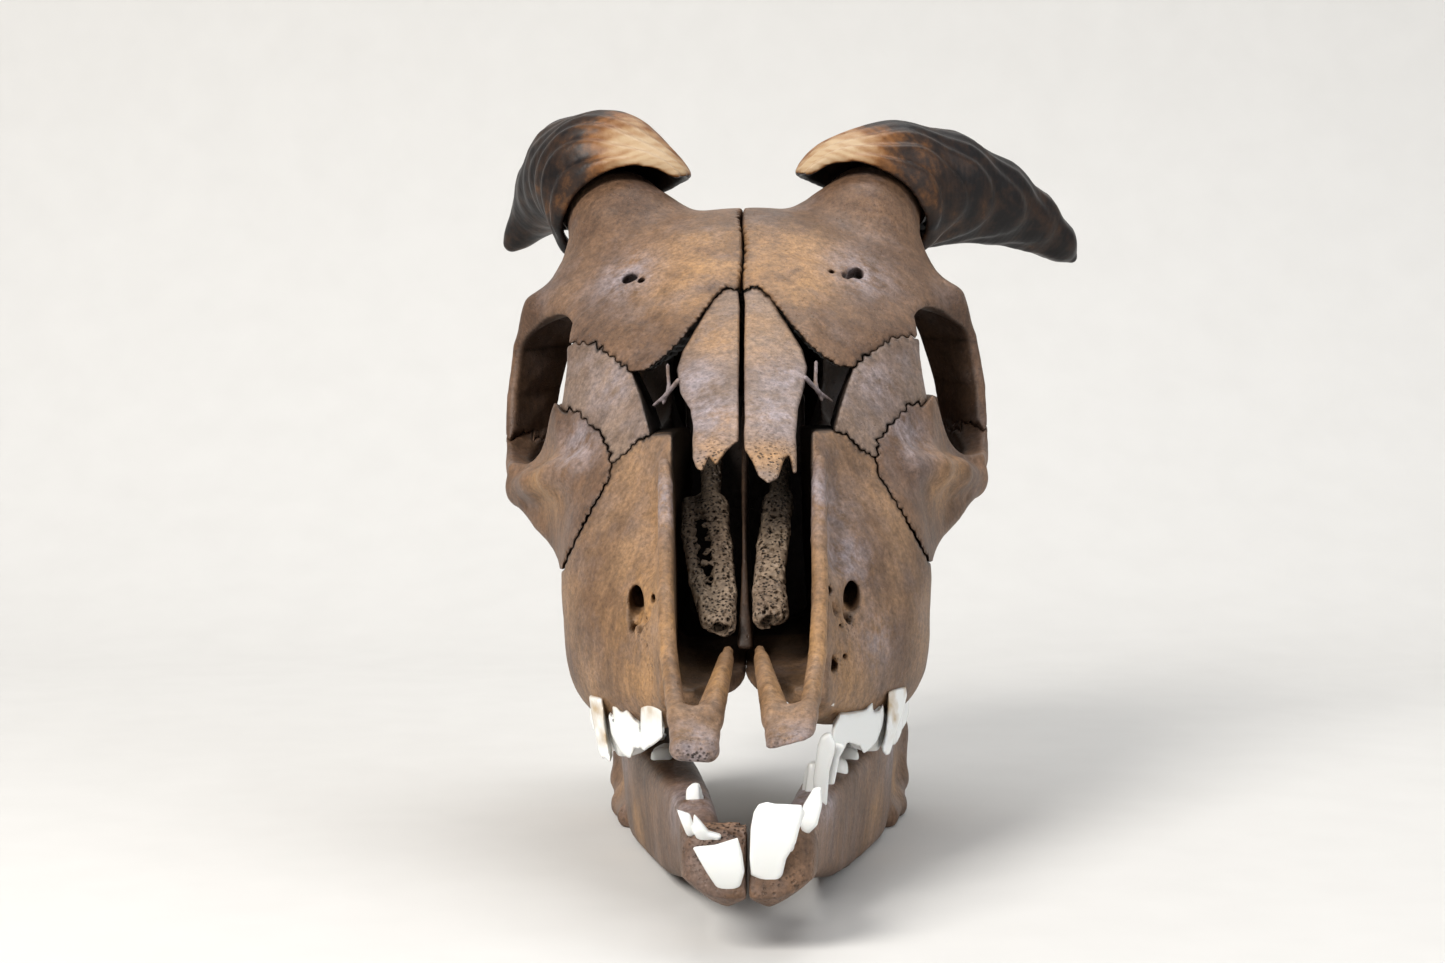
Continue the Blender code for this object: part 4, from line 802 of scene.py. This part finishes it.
def pierced_maxilla(s):
    """The maxilla with its small holes, the pits round them and the facet of its inner edge."""
    body = maxilla_bone(s)
    if s.side < 0:
        small = ((16.6, 50.5, 55.9, 0.75), (20.9, 54.5, 49.6, 0.5), (17.6, 50, 47.5, 0.3))
        dents = ((18.6, 54.2, 51, 1.1), (17.6, 51.6, 53, 0.8), (20.6, 57, 52.4, 1.3))
    else:
        small = ((15.6, 49.6, 56.8, 0.8), (17, 52, 50.6, 0.4), (16, 46.5, 43.6, 0.9), (17.8, 52, 45, 0.5))
        dents = ((18.2, 55, 51.5, 1.2), (16.4, 50.4, 53.5, 0.9), (15.4, 46, 44.5, 0.8))
    for x, y, z, r in small:
        body = cut(body, bar(s, ((x + 1, y - 5, z - 0.5, r), (x - 1, y + 4, z + 0.5, r)), 0.5), 0.4)
    for x, y, z, r in dents:
        body = cut(body, ball(s, (x, y - r, z), (r * 1.2, r * 1.3, r * 1.5)), 1.2)
    facet = bar(s, ((20.5, 69.5, 80, 2.2), (19, 62, 70, 2.4), (18.2, 56, 62, 1.6)), 2)
    return cut(body, facet - 0.5, 2.5)


def holed_frontal(s):
    """The frontal with the smaller vessel holes beside its large one, which is ragged on the left."""
    left, right = ((18.8, 116.7, 0.6), (24.6, 118.2, 1.1), (21.9, 116, 1.0)), ((21.3, 115.8, 0.85),)
    body = frontal(s)
    for x, z, radius in left if s.side > 0 else right:
        body = cut(body, bar(s, ((x, 112, z + 2.4, radius), (x - 0.6, 128, z - 3.4, radius)), 1), 0.4)
    return body


def slivers(s):
    """Thin struts of bone that cross the gap beside the nasal bones."""
    struts = (((12.4, 83.5, 95.5, 0.5), (15, 87, 92.6, 0.45), (17.6, 90, 90.6, 0.35)),
              ((14.6, 87, 98.5, 0.35), (14.4, 87, 94, 0.45), (15.6, 88, 91, 0.35)))
    return np.minimum.reduce([bar(s, points, 0.4) for points in struts])


def skull_pose(p):
    """The skull sits a little turned and leaning on its jaw."""
    x, y, z = p[:, 0], p[:, 1], p[:, 2]
    return np.stack([x + (y - 57) * 0.0235 - (z - 60) * 0.021, y, z + x * 0.021], 1)


def jaw_pose(p):
    """The jaw is turned a little too."""
    return np.stack([p[:, 0] + (p[:, 1] - 5) * 0.029 + 0.3, p[:, 1], p[:, 2]], 1)


# Grid cells along the side of a block, and fine cells along the side of a coarse one.
BLOCK = 12
COARSE = 4


def sample(shape, s):
    """The shape's field on a fine grid, worked out only in the blocks that its surface passes through."""
    high = s.low + s.step * (np.array(s.shape) - 1) + COARSE * s.step
    rough = Space(s.low, high, s.step * COARSE, s.side)
    near = np.broadcast_to(shape(rough), rough.shape)
    field = np.repeat(np.repeat(np.repeat(near, COARSE, 0), COARSE, 1), COARSE, 2)
    field = field[:s.shape[0], :s.shape[1], :s.shape[2]].astype(np.float32)
    reach = 1.5 * COARSE * s.step
    n = BLOCK // COARSE + 1
    for i, j, k in product(*(range(0, count - 1, BLOCK) for count in s.shape)):
        a, b, c = i // COARSE, j // COARSE, k // COARSE
        if np.abs(near[a:a + n, b:b + n, c:c + n]).min() <= reach:
            part = s.window((i, j, k), BLOCK + 1)
            e = part.shape
            field[i:i + e[0], j:j + e[1], k:k + e[2]] = shape(part)
    return field


# The unit steps along a grid's axes.
AXES = np.eye(3, dtype=int)


def net_mesh(field, low, step):
    """Quads where the field crosses zero, with one point in each crossed cell."""
    field[0], field[-1] = step, step
    field[:, 0], field[:, -1] = step, step
    field[:, :, 0], field[:, :, -1] = step, step
    inside = field < 0
    count = np.zeros([n - 1 for n in field.shape], np.int8)
    for i, j, k in product((0, 1), repeat=3):
        count += inside[i:count.shape[0] + i, j:count.shape[1] + j, k:count.shape[2] + k]
    cells = np.argwhere((count > 0) & (count < 8))
    number = np.full(count.shape, -1, np.int32)
    number[tuple(cells.T)] = np.arange(len(cells))
    total = np.zeros((len(cells), 3))
    hits = np.zeros(len(cells))
    for axis in range(3):
        for u, v in product((0, 1), repeat=2):
            start = np.insert(np.array([u, v]), axis, 0)
            end = start + AXES[axis]
            a = field[tuple((cells + start).T)]
            b = field[tuple((cells + end).T)]
            crossed = (a < 0) != (b < 0)
            t = np.where(crossed, a / np.where(crossed, a - b, 1), 0)
            total += crossed[:, None] * (start + t[:, None] * AXES[axis])
            hits += crossed
    points = (cells + total / hits[:, None]) * step + low
    quads = []
    for axis in range(3):
        n = [slice(1, -1)] * 3
        n[axis] = slice(0, field.shape[axis] - 1)
        first = inside[tuple(n)]
        n[axis] = slice(1, field.shape[axis])
        second = inside[tuple(n)]
        for sign, found in ((1, first & ~second), (-1, ~first & second)):
            at = np.argwhere(found) + 1 - AXES[axis]
            u, v = AXES[axis - 2], AXES[axis - 1]
            ring = [number[tuple((at - off).T)] for off in (0 * u, u, u + v, v)]
            quads.append(np.stack(ring if sign > 0 else ring[::-1], 1))
    return points, np.concatenate(quads)


def bodies(points, faces, least):
    """The mesh without loose crumbs: only surfaces of at least a share of the largest one's faces."""
    label = np.arange(len(points))
    while True:
        lowest = label[faces].min(1)
        after = label.copy()
        np.minimum.at(after, faces.ravel(), np.repeat(lowest, faces.shape[1]))
        after = after[after]
        if (after == label).all():
            break
        label = after
    owner = label[faces[:, 0]]
    names, counts = np.unique(owner, return_counts=True)
    kept = names[counts >= counts.max() * least]
    faces = faces[np.isin(owner, kept)]
    used, index = np.unique(faces, return_inverse=True)
    return points[used], index.reshape(-1, faces.shape[1])


def lumps(points, size, seed):
    """Smooth random values from -1 to 1, in lumps of the given size."""
    at = points / size + 200
    cell = np.floor(at).astype(np.int64)
    t = at - cell
    t = t * t * (3 - 2 * t)
    total = 0
    for corner in product((0, 1), repeat=3):
        weight = np.prod(np.where(corner, t, 1 - t), axis=1)
        total += weight * (2 * hashed((cell + corner).T, seed) - 1)
    return total


def outward(points, faces):
    """Normals at the points, each the sum of its faces' normals."""
    p = points[faces]
    across = np.cross(p[:, 2] - p[:, 0], p[:, 3] - p[:, 1])
    found = np.zeros_like(points)
    for i in range(4):
        for axis in range(3):
            found[:, axis] += np.bincount(faces[:, i], across[:, axis], len(points))
    return found / (np.linalg.norm(found, axis=1, keepdims=True) + 1e-12)


def spots(points, places, side):
    """How near points are to a few places, from 0 to 1: a centre, a radius and at times the only side."""
    total = np.zeros(len(points))
    for x, y, z, radius, *only in places:
        if side in (only or (side,)):
            away = np.linalg.norm((points - (x, y, z)) * (1, 0.7, 1), axis=1) / radius
            total = np.maximum(total, np.exp(-away ** 2))
    return total


# The unevenness of old bone: share of the height, size of the lumps and seed.
BUMPS = ((0.6, 3.1, 2), (0.3, 1.4, 5), (1.0, 8, 8))


def piece(name, shape, low, high, step, look, node, side=1, pose=skull_pose, slot="bone", marks=None,
          rough=0.1, least=1.0):
    """A finely meshed piece that rides on the skull and stands for a node; rough is its bumps' height."""
    s = Space(low, high, step * (1), side)
    points, faces = bodies(*net_mesh(sample(shape, s), s.low, s.step), least)
    normals = outward(points, faces)
    shades = marks(points, normals, s) if marks else {}
    bumps = sum(height * lumps(points, size, seed + side) for height, size, seed in BUMPS)
    points = points + normals * (rough * bumps)[:, None]
    if side < 0:
        points = points * (-1, 1, 1)
        faces = faces[:, ::-1]
    points = (pose(points) - ORIGIN) * MM
    mesh = bpy.data.meshes.new(name)
    mesh.vertices.add(len(points))
    mesh.vertices.foreach_set("co", points.ravel())
    mesh.loops.add(faces.size)
    mesh.loops.foreach_set("vertex_index", faces.ravel().astype(np.int32))
    mesh.polygons.add(len(faces))
    mesh.polygons.foreach_set("loop_start", np.arange(0, faces.size, 4, dtype=np.int32))
    mesh.update(calc_edges=True)
    mesh.shade_smooth()
    for mark, values in shades.items():
        layer = mesh.attributes.new(mark, "FLOAT", "POINT")
        layer.data.foreach_set("value", np.asarray(np.broadcast_to(values, len(points)), np.float32))
    mesh.materials.append(look)
    made = placed(name, mesh)
    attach(made, "root")
    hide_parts(node)


def nose_shadow(x, y, z):
    """How deep points lie behind the nasal bones, where the light doesn't reach, from 0 to 1."""
    roof = guide(ROOF_LINE, 1, y) - nasal_fall(x)
    wide = 21.5 + 2.5 * (y > 128)
    back = share((z - 80) / 5) * share((150 - y) / 4)
    deep = share((roof - z - 4) / 3) * share((wide - np.abs(x)) / 1.5)
    return deep * share((y - 84) / 2) * np.maximum(share((128 - y) / 4), back)


# Heights round which the bones of the face, the braincase and the jaw lie.
FACE_MIDDLE_Z = 62.0
BRAIN_MIDDLE_Z = 88.0
JAW_MIDDLE_Z = 14.0


def bone_marks(outlines=(), chalk=(), ochre=(), porous=(), middle_z=FACE_MIDDLE_Z, shade=1.0):
    """Marks for a bone: dark seams, painted shade on inner sides and in hollows, stained, chalky or pitted
    places.
    """
    def marks(p, n, s):
        x, y, z = p.T
        seam = np.zeros(len(p))
        for points in outlines:
            gap = line_distance(x, z, jagged(points, s.side))
            seam = np.maximum(seam, np.exp(-(gap / SEAM_GAP) ** 2))
        out = (n[:, 0] * x + n[:, 2] * (z - middle_z)) / (np.hypot(x, z - middle_z) + 1e-6)
        at = Points(p)
        hollow = np.abs(fissure_pocket(at))
        if middle_z == FACE_MIDDLE_Z:
            hollow = np.minimum(hollow, np.abs(cavity(at)))
        wall = share((0.9 - np.hypot(out, n[:, 1])) / 0.25)
        # Painted shade in the inside mark: on sides facing in towards the middle, and on the walls of the
        # fissure and the nasal cavity.
        inside = np.maximum(np.clip(0.12 - 1.5 * out, 0, 0.65), wall * share(1.4 - hollow / 0.7))
        # Painted shadow deep behind the nasal bones, on all but the jaw.
        if middle_z != JAW_MIDDLE_Z:
            inside = np.maximum(inside, nose_shadow(x, y, z))
        return {"seam": seam, "inside": shade * inside, "chalk": spots(p, chalk, s.side),
                "ochre": spots(p, ochre, s.side), "porous": spots(p, porous, s.side)}
    return marks


def tooth_marks(p, n, s):
    """Yellow towards both roots, away from where the upper and lower teeth meet."""
    return {"root": np.clip((np.abs(p[:, 2] - 26.5) - 6) / 4, 0, 0.8)}


def outer_marks(p, n, s):
    """Tan, and white only at the worn end and along one edge."""
    edge = share((p[:, 0] - 28.2 - 0.35 * (p[:, 2] - 30)) / 0.6) if s.side > 0 else 0
    return {"root": share((p[:, 2] - 26.2) / 2) * (1 - edge)}


def sponge_marks(p, n, s):
    """Pitted all over, with painted shade that grows higher up, deep in the nose."""
    return {"inside": np.clip((p[:, 2] - 68 + 3 * (s.side > 0)) / 9, 0, 0.85), "porous": 1.0}


def along_path(p, path):
    """How far along a chain of points each point lies, in millimetres, blended past the bends."""
    total, weights, start = 0.0, 0.0, 0.0
    centres = [np.array(c[:3], float) for c in path]
    for a, b in zip(centres[:-1], centres[1:]):
        length = np.linalg.norm(b - a)
        t = np.clip((p - a) @ (b - a) / length ** 2, -0.6, 1.6)
        away = np.linalg.norm(p - a - share(t)[:, None] * (b - a), axis=1)
        weight = (away + 0.1) ** -6.0
        total = total + weight * (start + t * length)
        weights = weights + weight
        start += length
    return total / weights


# Phase of the fine growth rings for each millimetre along a horn, which makes a ring in 1.5 mm.
RINGS = 4.2


def horn_marks(p, n, s):
    """Cream and amber near the open mouth, on top and in front, with fine growth rings."""
    normal, past = HORN_MOUTH
    along = p @ np.array(normal) - past + 2.2 * lumps(p, 4, 3)
    top = share(0.6 + 0.8 * n[:, 2] - 0.6 * n[:, 1]) * np.clip((38 - p[:, 0]) / 14, 0.12, 1)
    tip = 0.3 * share(1 - (p[:, 2] - 120) / 14) * (p[:, 0] > 44) * (s.side < 0)
    path = along_path(p, HORN_LEFT if s.side > 0 else HORN_RIGHT)
    rings = 0.5 + 0.5 * np.sin(RINGS * path + 1.3 * lumps(p, 6, 9))
    return {"pale": share(1.15 - along / (4 + 15 * top)) * top + tip, "ring": rings}


class Look:
    """A new material, with short ways to add nodes to it."""

    def __init__(self, name):
        self.made = bpy.data.materials.new(name)
        self.made.use_nodes = True
        self.shader = self.made.node_tree.nodes["Principled BSDF"]
        self.place = self.add("TexCoord").outputs["Object"]

    def fill(self, node, inputs):
        """Sets a node's inputs, each a link from another node or a plain value."""
        for key, value in inputs.items():
            if isinstance(value, bpy.types.NodeSocket):
                self.made.node_tree.links.new(value, node.inputs[key])
            else:
                node.inputs[key].default_value = value

    def add(self, kind, inputs=(), **settings):
        node = self.made.node_tree.nodes.new("ShaderNode" + kind)
        for key, value in settings.items():
            setattr(node, key, value)
        self.fill(node, dict(inputs))
        return node

    def noise(self, scale, detail, rough=0.5, place=None):
        place = self.place if place is None else place
        return self.add("TexNoise", {"Vector": place, "Scale": scale, "Detail": detail,
                                     "Roughness": rough}).outputs["Fac"]

    def cells(self, scale):
        return self.add("TexVoronoi", {"Vector": self.place, "Scale": scale}).outputs["Distance"]

    def mark(self, key):
        """A shade that the piece's mesh carries."""
        return self.add("Attribute", attribute_name=key).outputs["Fac"]

    def mix(self, factor, a, b, blend="MIX"):
        a, b = [(*v, 1) if isinstance(v, tuple) else v for v in (a, b)]
        return self.add("Mix", {0: factor, 6: a, 7: b}, data_type="RGBA", blend_type=blend).outputs[2]

    def ramp(self, value, low, high, floor=0.0, top=1.0):
        """A value stretched from between two levels to between two others."""
        return self.add("MapRange", {"Value": value, "From Min": low, "From Max": high,
                                     "To Min": floor, "To Max": top}).outputs["Result"]

    def times(self, a, b, plus=0.0):
        return self.add("Math", {0: a, 1: b, 2: plus}, operation="MULTIPLY_ADD").outputs[0]

    def finish(self, colour, roughness, height=None, strength=0.0, **rest):
        """The material with its colour and gloss, and a fine relief where a height is given."""
        if height is not None:
            bump = self.add("Bump", {"Strength": strength, "Distance": RELIEF, "Height": height})
            rest["Normal"] = bump.outputs["Normal"]
        self.fill(self.shader, {"Base Color": colour, "Roughness": roughness, **rest})
        return self.made


# Depth of the fine relief, in metres.
RELIEF = 0.0003
STAIN = (0.45, 0.245, 0.1)
PATCH = (0.26, 0.205, 0.195)
CHALK = (0.36, 0.3, 0.31)
BLOT = (0.07, 0.036, 0.02)
PIT = (0.02, 0.012, 0.008)
DARK_SEAM = (0.022, 0.013, 0.008)
ENAMEL = (0.83, 0.84, 0.82)
TOOTH_ROOT = (0.5, 0.38, 0.24)
# Horn from its tip to its open mouth: charcoal, browns, amber and cream.
HORN_COLOURS = ((0.32, (0.009, 0.007, 0.007, 1)), (0.42, (0.035, 0.019, 0.012, 1)),
                (0.58, (0.19, 0.08, 0.026, 1)), (0.74, (0.34, 0.2, 0.1, 1)), (0.93, (0.46, 0.33, 0.2, 1)))


def bone_look(name, dark, light, patches=0.35):
    """Dry bone: clouds of two browns, ochre stains, chalky patches, fine grain, pits, dark seams and painted
    shade.
    """
    look = Look(name)
    noise, mark, mix, ramp, times = look.noise, look.mark, look.mix, look.ramp, look.times
    colour = mix(ramp(noise(48, 6, 0.62), 0.38, 0.64), dark, light)
    colour = mix(times(mark("ochre"), ramp(noise(120, 5, 0.6), 0.25, 0.6)), colour, STAIN)
    colour = mix(ramp(noise(85, 7, 0.7), 0.5, 0.7, 0.0, patches), colour, PATCH)
    colour = mix(times(mark("chalk"), ramp(noise(240, 6, 0.75), 0.36, 0.6)), colour, CHALK)
    colour = mix(ramp(noise(150, 5, 0.7), 0.56, 0.75, 0.0, 0.5), colour, BLOT)
    pitted = times(mark("porous"), ramp(look.cells(1250), 0.18, 0.4, 1.0, 0.0))
    colour = mix(pitted, colour, PIT)
    colour = mix(times(mark("seam"), ramp(noise(170, 4, 0.6), 0.38, 0.6, 0.3, 1.0)), colour, DARK_SEAM)
    drawn = look.add("VectorMath", {0: look.place, 1: (1.0, 1.0, 0.2)}, operation="MULTIPLY")
    fibre = ramp(noise(480, 5, place=drawn.outputs["Vector"]), 0.36, 0.62, 0.8, 1.08)
    grain = times(ramp(noise(1100, 5, 0.75), 0.32, 0.66, 0.5, 1.12), fibre)
    # Painted shade: the inside mark darkens the colour, down to 0.15 of it where the mark is full.
    shade = ramp(mark("inside"), 0.0, 1.0, 1.0, 0.15)
    colour = mix(1.0, colour, times(grain, shade), "MULTIPLY")
    fine = times(noise(620, 6, 0.7), 1.0, ramp(look.cells(900), 0.0, 0.22))
    return look.finish(colour, 0.5, times(pitted, -3.0, fine), 0.6, **{"Specular IOR Level": 0.35})


def tooth_look():
    """Bleached enamel, a little yellow towards the root."""
    look = Look("tooth")
    worn = look.times(look.ramp(look.noise(190, 3), 0.4, 0.65), look.mark("root"))
    return look.finish(look.mix(worn, ENAMEL, TOOTH_ROOT), 0.25,
                       **{"Subsurface Weight": 0.1, "Subsurface Radius": (0.002, 0.0015, 0.001)})


def horn_look():
    """Horn, charcoal with brown, and amber and cream in bands at the open end."""
    look = Look("horn_sheath")
    pale, ring = look.mark("pale"), look.mark("ring")
    level = look.times(look.times(pale, ring), -0.25, look.times(pale, 1.0, look.noise(130, 7, 0.7)))
    colours = look.add("ValToRGB", {"Fac": look.ramp(level, 0.0, 1.5)})
    stops = colours.color_ramp.elements
    for stop, (place, colour) in zip(stops, (HORN_COLOURS[0], HORN_COLOURS[-1])):
        stop.position, stop.color = place, colour
    for place, colour in HORN_COLOURS[1:-1]:
        stops.new(place).color = colour
    return look.finish(colours.outputs["Color"], 0.42, look.times(ring, 0.15, look.noise(500, 4)), 0.4,
                       **{"Specular IOR Level": 0.22})


def placed(name, data):
    """A new object in the scene."""
    made = bpy.data.objects.new(name, data)
    bpy.context.collection.objects.link(made)
    return made


def stage():
    """A pale floor that curves up behind, in metres."""
    half_width, front, back, bend, top = 1.6, -1.2, 0.55, 0.25, 1.4
    profile = [(front, 0.0), (back - bend, 0.0)]
    for angle in np.linspace(0.1, np.pi / 2, 12):
        profile.append((back - bend + bend * np.sin(angle), bend - bend * np.cos(angle)))
    profile.append((back, top))
    verts = [(x, y, z) for y, z in profile for x in (-half_width, half_width)]
    mesh = bpy.data.meshes.new("floor")
    mesh.from_pydata(verts, [], [(i, i + 1, i + 3, i + 2) for i in range(0, len(verts) - 2, 2)])
    mesh.shade_smooth()
    look = Look("paper")
    grain = look.mix(look.noise(60, 2), (0.62, 0.61, 0.59), (0.66, 0.65, 0.63))
    mesh.materials.append(look.finish(grain, 0.9))
    placed("floor", mesh)


def light(name, place, size, power, colour=(1, 1, 1)):
    """A soft round light, turned to the middle of the skull."""
    data = bpy.data.lights.new(name, "AREA")
    data.shape, data.size, data.energy, data.color = "DISK", size, power, colour
    lamp = placed(name, data)
    lamp.location = place
    lamp.rotation_euler = (Vector(place) - Vector((0, 0, 0.08))).to_track_quat("Z", "Y").to_euler()


def camera():
    """The photo's camera, 3 degrees below level."""
    data = bpy.data.cameras.new("camera")
    data.lens = 63.1
    data.clip_start = 0.01
    made = placed("camera", data)
    made.location = (np.array((-3.9, -412, 101.4)) - ORIGIN) * MM
    made.rotation_euler = (np.radians(87), 0, 0)
    bpy.context.scene.camera = made


# Grid step of the large bones in millimetres, of which the smaller pieces take a share.
STEP = 0.5


def one_side(word, side, brown, grey, ochre, sponge, tooth, sheath):
    """The pieces of one side, each with the node that it stands for, its box and its share of STEP."""
    def add(name, node, shape, low, high, scale, look, **rest):
        piece(name.format(word), shape, low, high, STEP * scale, look, f"{node}_{word}", side, **rest)

    add("frontal_{}_bone", "frontal", holed_frontal, (-2, 78, 76), (60, 192, 158), 1, brown,
        marks=bone_marks((FRONTAL_OUTLINE,), chalk=((24, 122, 116, 7),),
                         ochre=((10, 118, 119, 13), (12, 112, 114, 8))))
    add("lacrimal_{}_bone", "lacrimal", lacrimal, (10, 66, 72), (50, 126, 108), 1, grey,
        marks=bone_marks((LACRIMAL_OUTLINE,), chalk=((28, 92, 96, 6),), porous=((24, 88, 94, 2),)))
    add("zygomatic_{}_bone", "zygomatic", zygomatic, (20, 72, 52), (56, 158, 98), 1, brown,
        marks=bone_marks((ZYGOMATIC_OUTLINE,), chalk=((34, 92, 84, 6),), ochre=((40, 100, 74, 6),)))
    add("premaxilla_{}_bone", "premaxilla", premaxilla, (-2, 4, 28), (18, 68, 84), 1, ochre, rough=0.03,
        marks=bone_marks(shade=0.2, chalk=((8, 10, 34, 5), (14, 58, 74, 6)),
                         ochre=((13.4, 38, 50, 12), (4, 28, 43, 7)), porous=((8, 9, 33, 3),)))
    add("maxilla_{}_bone", "maxilla", pierced_maxilla, (-2, 34, 20), (42, 118, 92), 1, ochre,
        marks=bone_marks((MAXILLA_OUTLINE,), porous=((18, 53, 50.5, 2.6), (15.6, 47, 44, 2)),
                         chalk=((16, 60, 72, 7, 1), (19, 60, 62, 6, 1), (22, 62, 46, 6, 1)),
                         ochre=((17, 60, 70, 4, -1), (19, 54, 52, 9, -1), (17, 50, 42, 7),
                                (20, 58, 50, 6, 1))))
    add("nasal_{}_bone", "nasal", nasal, (-2, 48, 72), (16, 110, 118), 0.8, grey,
        marks=bone_marks((NASAL_TOP + NASAL_TOP[-2:0:-1],), chalk=((6, 70, 89, 7), (9, 80, 96, 6)),
                         ochre=((4, 90, 106, 8), (5, 60, 82, 5), (3, 66, 88, 4)), porous=((5, 58, 80, 5),)))
    add("nasal_{}_slivers", "nasal", slivers, (8, 78, 84), (22, 96, 102), 0.6, grey,
        marks=lambda *_: {"chalk": 1.0}, rough=0, least=0.1)
    add("turbinate_{}_scroll", "turbinate", scroll, (-1, 50, 44), (16, 124, 94), 0.6, sponge,
        marks=sponge_marks, rough=0)
    add("upper_teeth_{}", "maxilla", upper_crowns, (10, 44, 20), (36, 114, 42), 0.8, tooth,
        marks=tooth_marks, rough=0, least=0.02)
    add("outer_tooth_{}", "maxilla", outer_tooth, (22, 52, 20), (34, 86, 40), 0.8, tooth,
        marks=outer_marks, rough=0)
    add("mandible_{}_bone", "mandible", pocked_jaw, (-2, -2, -4), (42, 168, 110), 1, brown, pose=jaw_pose,
        marks=bone_marks(middle_z=JAW_MIDDLE_Z, shade=0.4, chalk=((11, 44, 20, 7), (26, 110, 22, 9)),
                         ochre=((21, 92, 8, 6), (28, 132, 10, 5), (8, 20, 12, 4)),
                         porous=((6, 10, 11, 5, 1), (4.5, 12, 19.5, 7, -1))))
    add("lower_teeth_{}", "mandible", lower_crowns, (6, 38, 14), (28, 102, 32), 0.8, tooth, pose=jaw_pose,
        marks=tooth_marks, rough=0, least=0.02)
    add("incisors_{}", "mandible", blades, (-1, -2, 6), (20, 52, 36), 0.6, tooth, pose=jaw_pose,
        rough=0, least=0.02)
    add("horn_{}_sheath", "horn", horn, (4, 128, 108), (84, 202, 162), 1, sheath, slot="horn",
        marks=horn_marks)


def main():
    brown = bone_look("brown_bone", (0.115, 0.062, 0.036), (0.23, 0.13, 0.074))
    grey = bone_look("chalky_bone", (0.18, 0.118, 0.085), (0.29, 0.2, 0.145), 0.8)
    ochre = bone_look("ochre_bone", (0.16, 0.088, 0.048), (0.33, 0.195, 0.105))
    sponge = bone_look("sponge_bone", (0.27, 0.19, 0.13), (0.44, 0.33, 0.23), 0.2)
    looks = brown, grey, ochre, sponge, tooth_look(), horn_look()
    one_side("left", 1, *looks)
    one_side("right", -1, *looks)
    piece("braincase_bone", braincase, (-56, 110, 34), (56, 212, 132), STEP * 1.4, brown, "braincase",
          marks=bone_marks(middle_z=BRAIN_MIDDLE_Z))
    piece("palatine_bone", palatine, (-18, 108, 34), (18, 152, 96), STEP, brown, "palatine",
          marks=bone_marks())
    # The vomer carries an even painted shade all over.
    piece("vomer_bone", vomer, (-3, 54, 42), (3, 122, 96), STEP, brown, "vomer",
          marks=lambda *_: {"inside": 0.7})
    stage()
    camera()
    light("key", (-0.55, -0.75, 0.75), 0.5, 15, (1, 0.97, 0.93))
    light("fill", (0.8, -0.5, 0.5), 0.8, 3.5, (0.93, 0.96, 1))
    light("top", (0.1, 0.3, 1.1), 0.8, 6)
    world = bpy.data.worlds.new("studio")
    bpy.context.scene.world = world
    world.use_nodes = True
    sky = world.node_tree.nodes["Background"].inputs
    sky["Color"].default_value = (0.75, 0.77, 0.8, 1)
    sky["Strength"].default_value = 0.35
    bpy.context.scene.view_settings.view_transform = "Standard"


main()
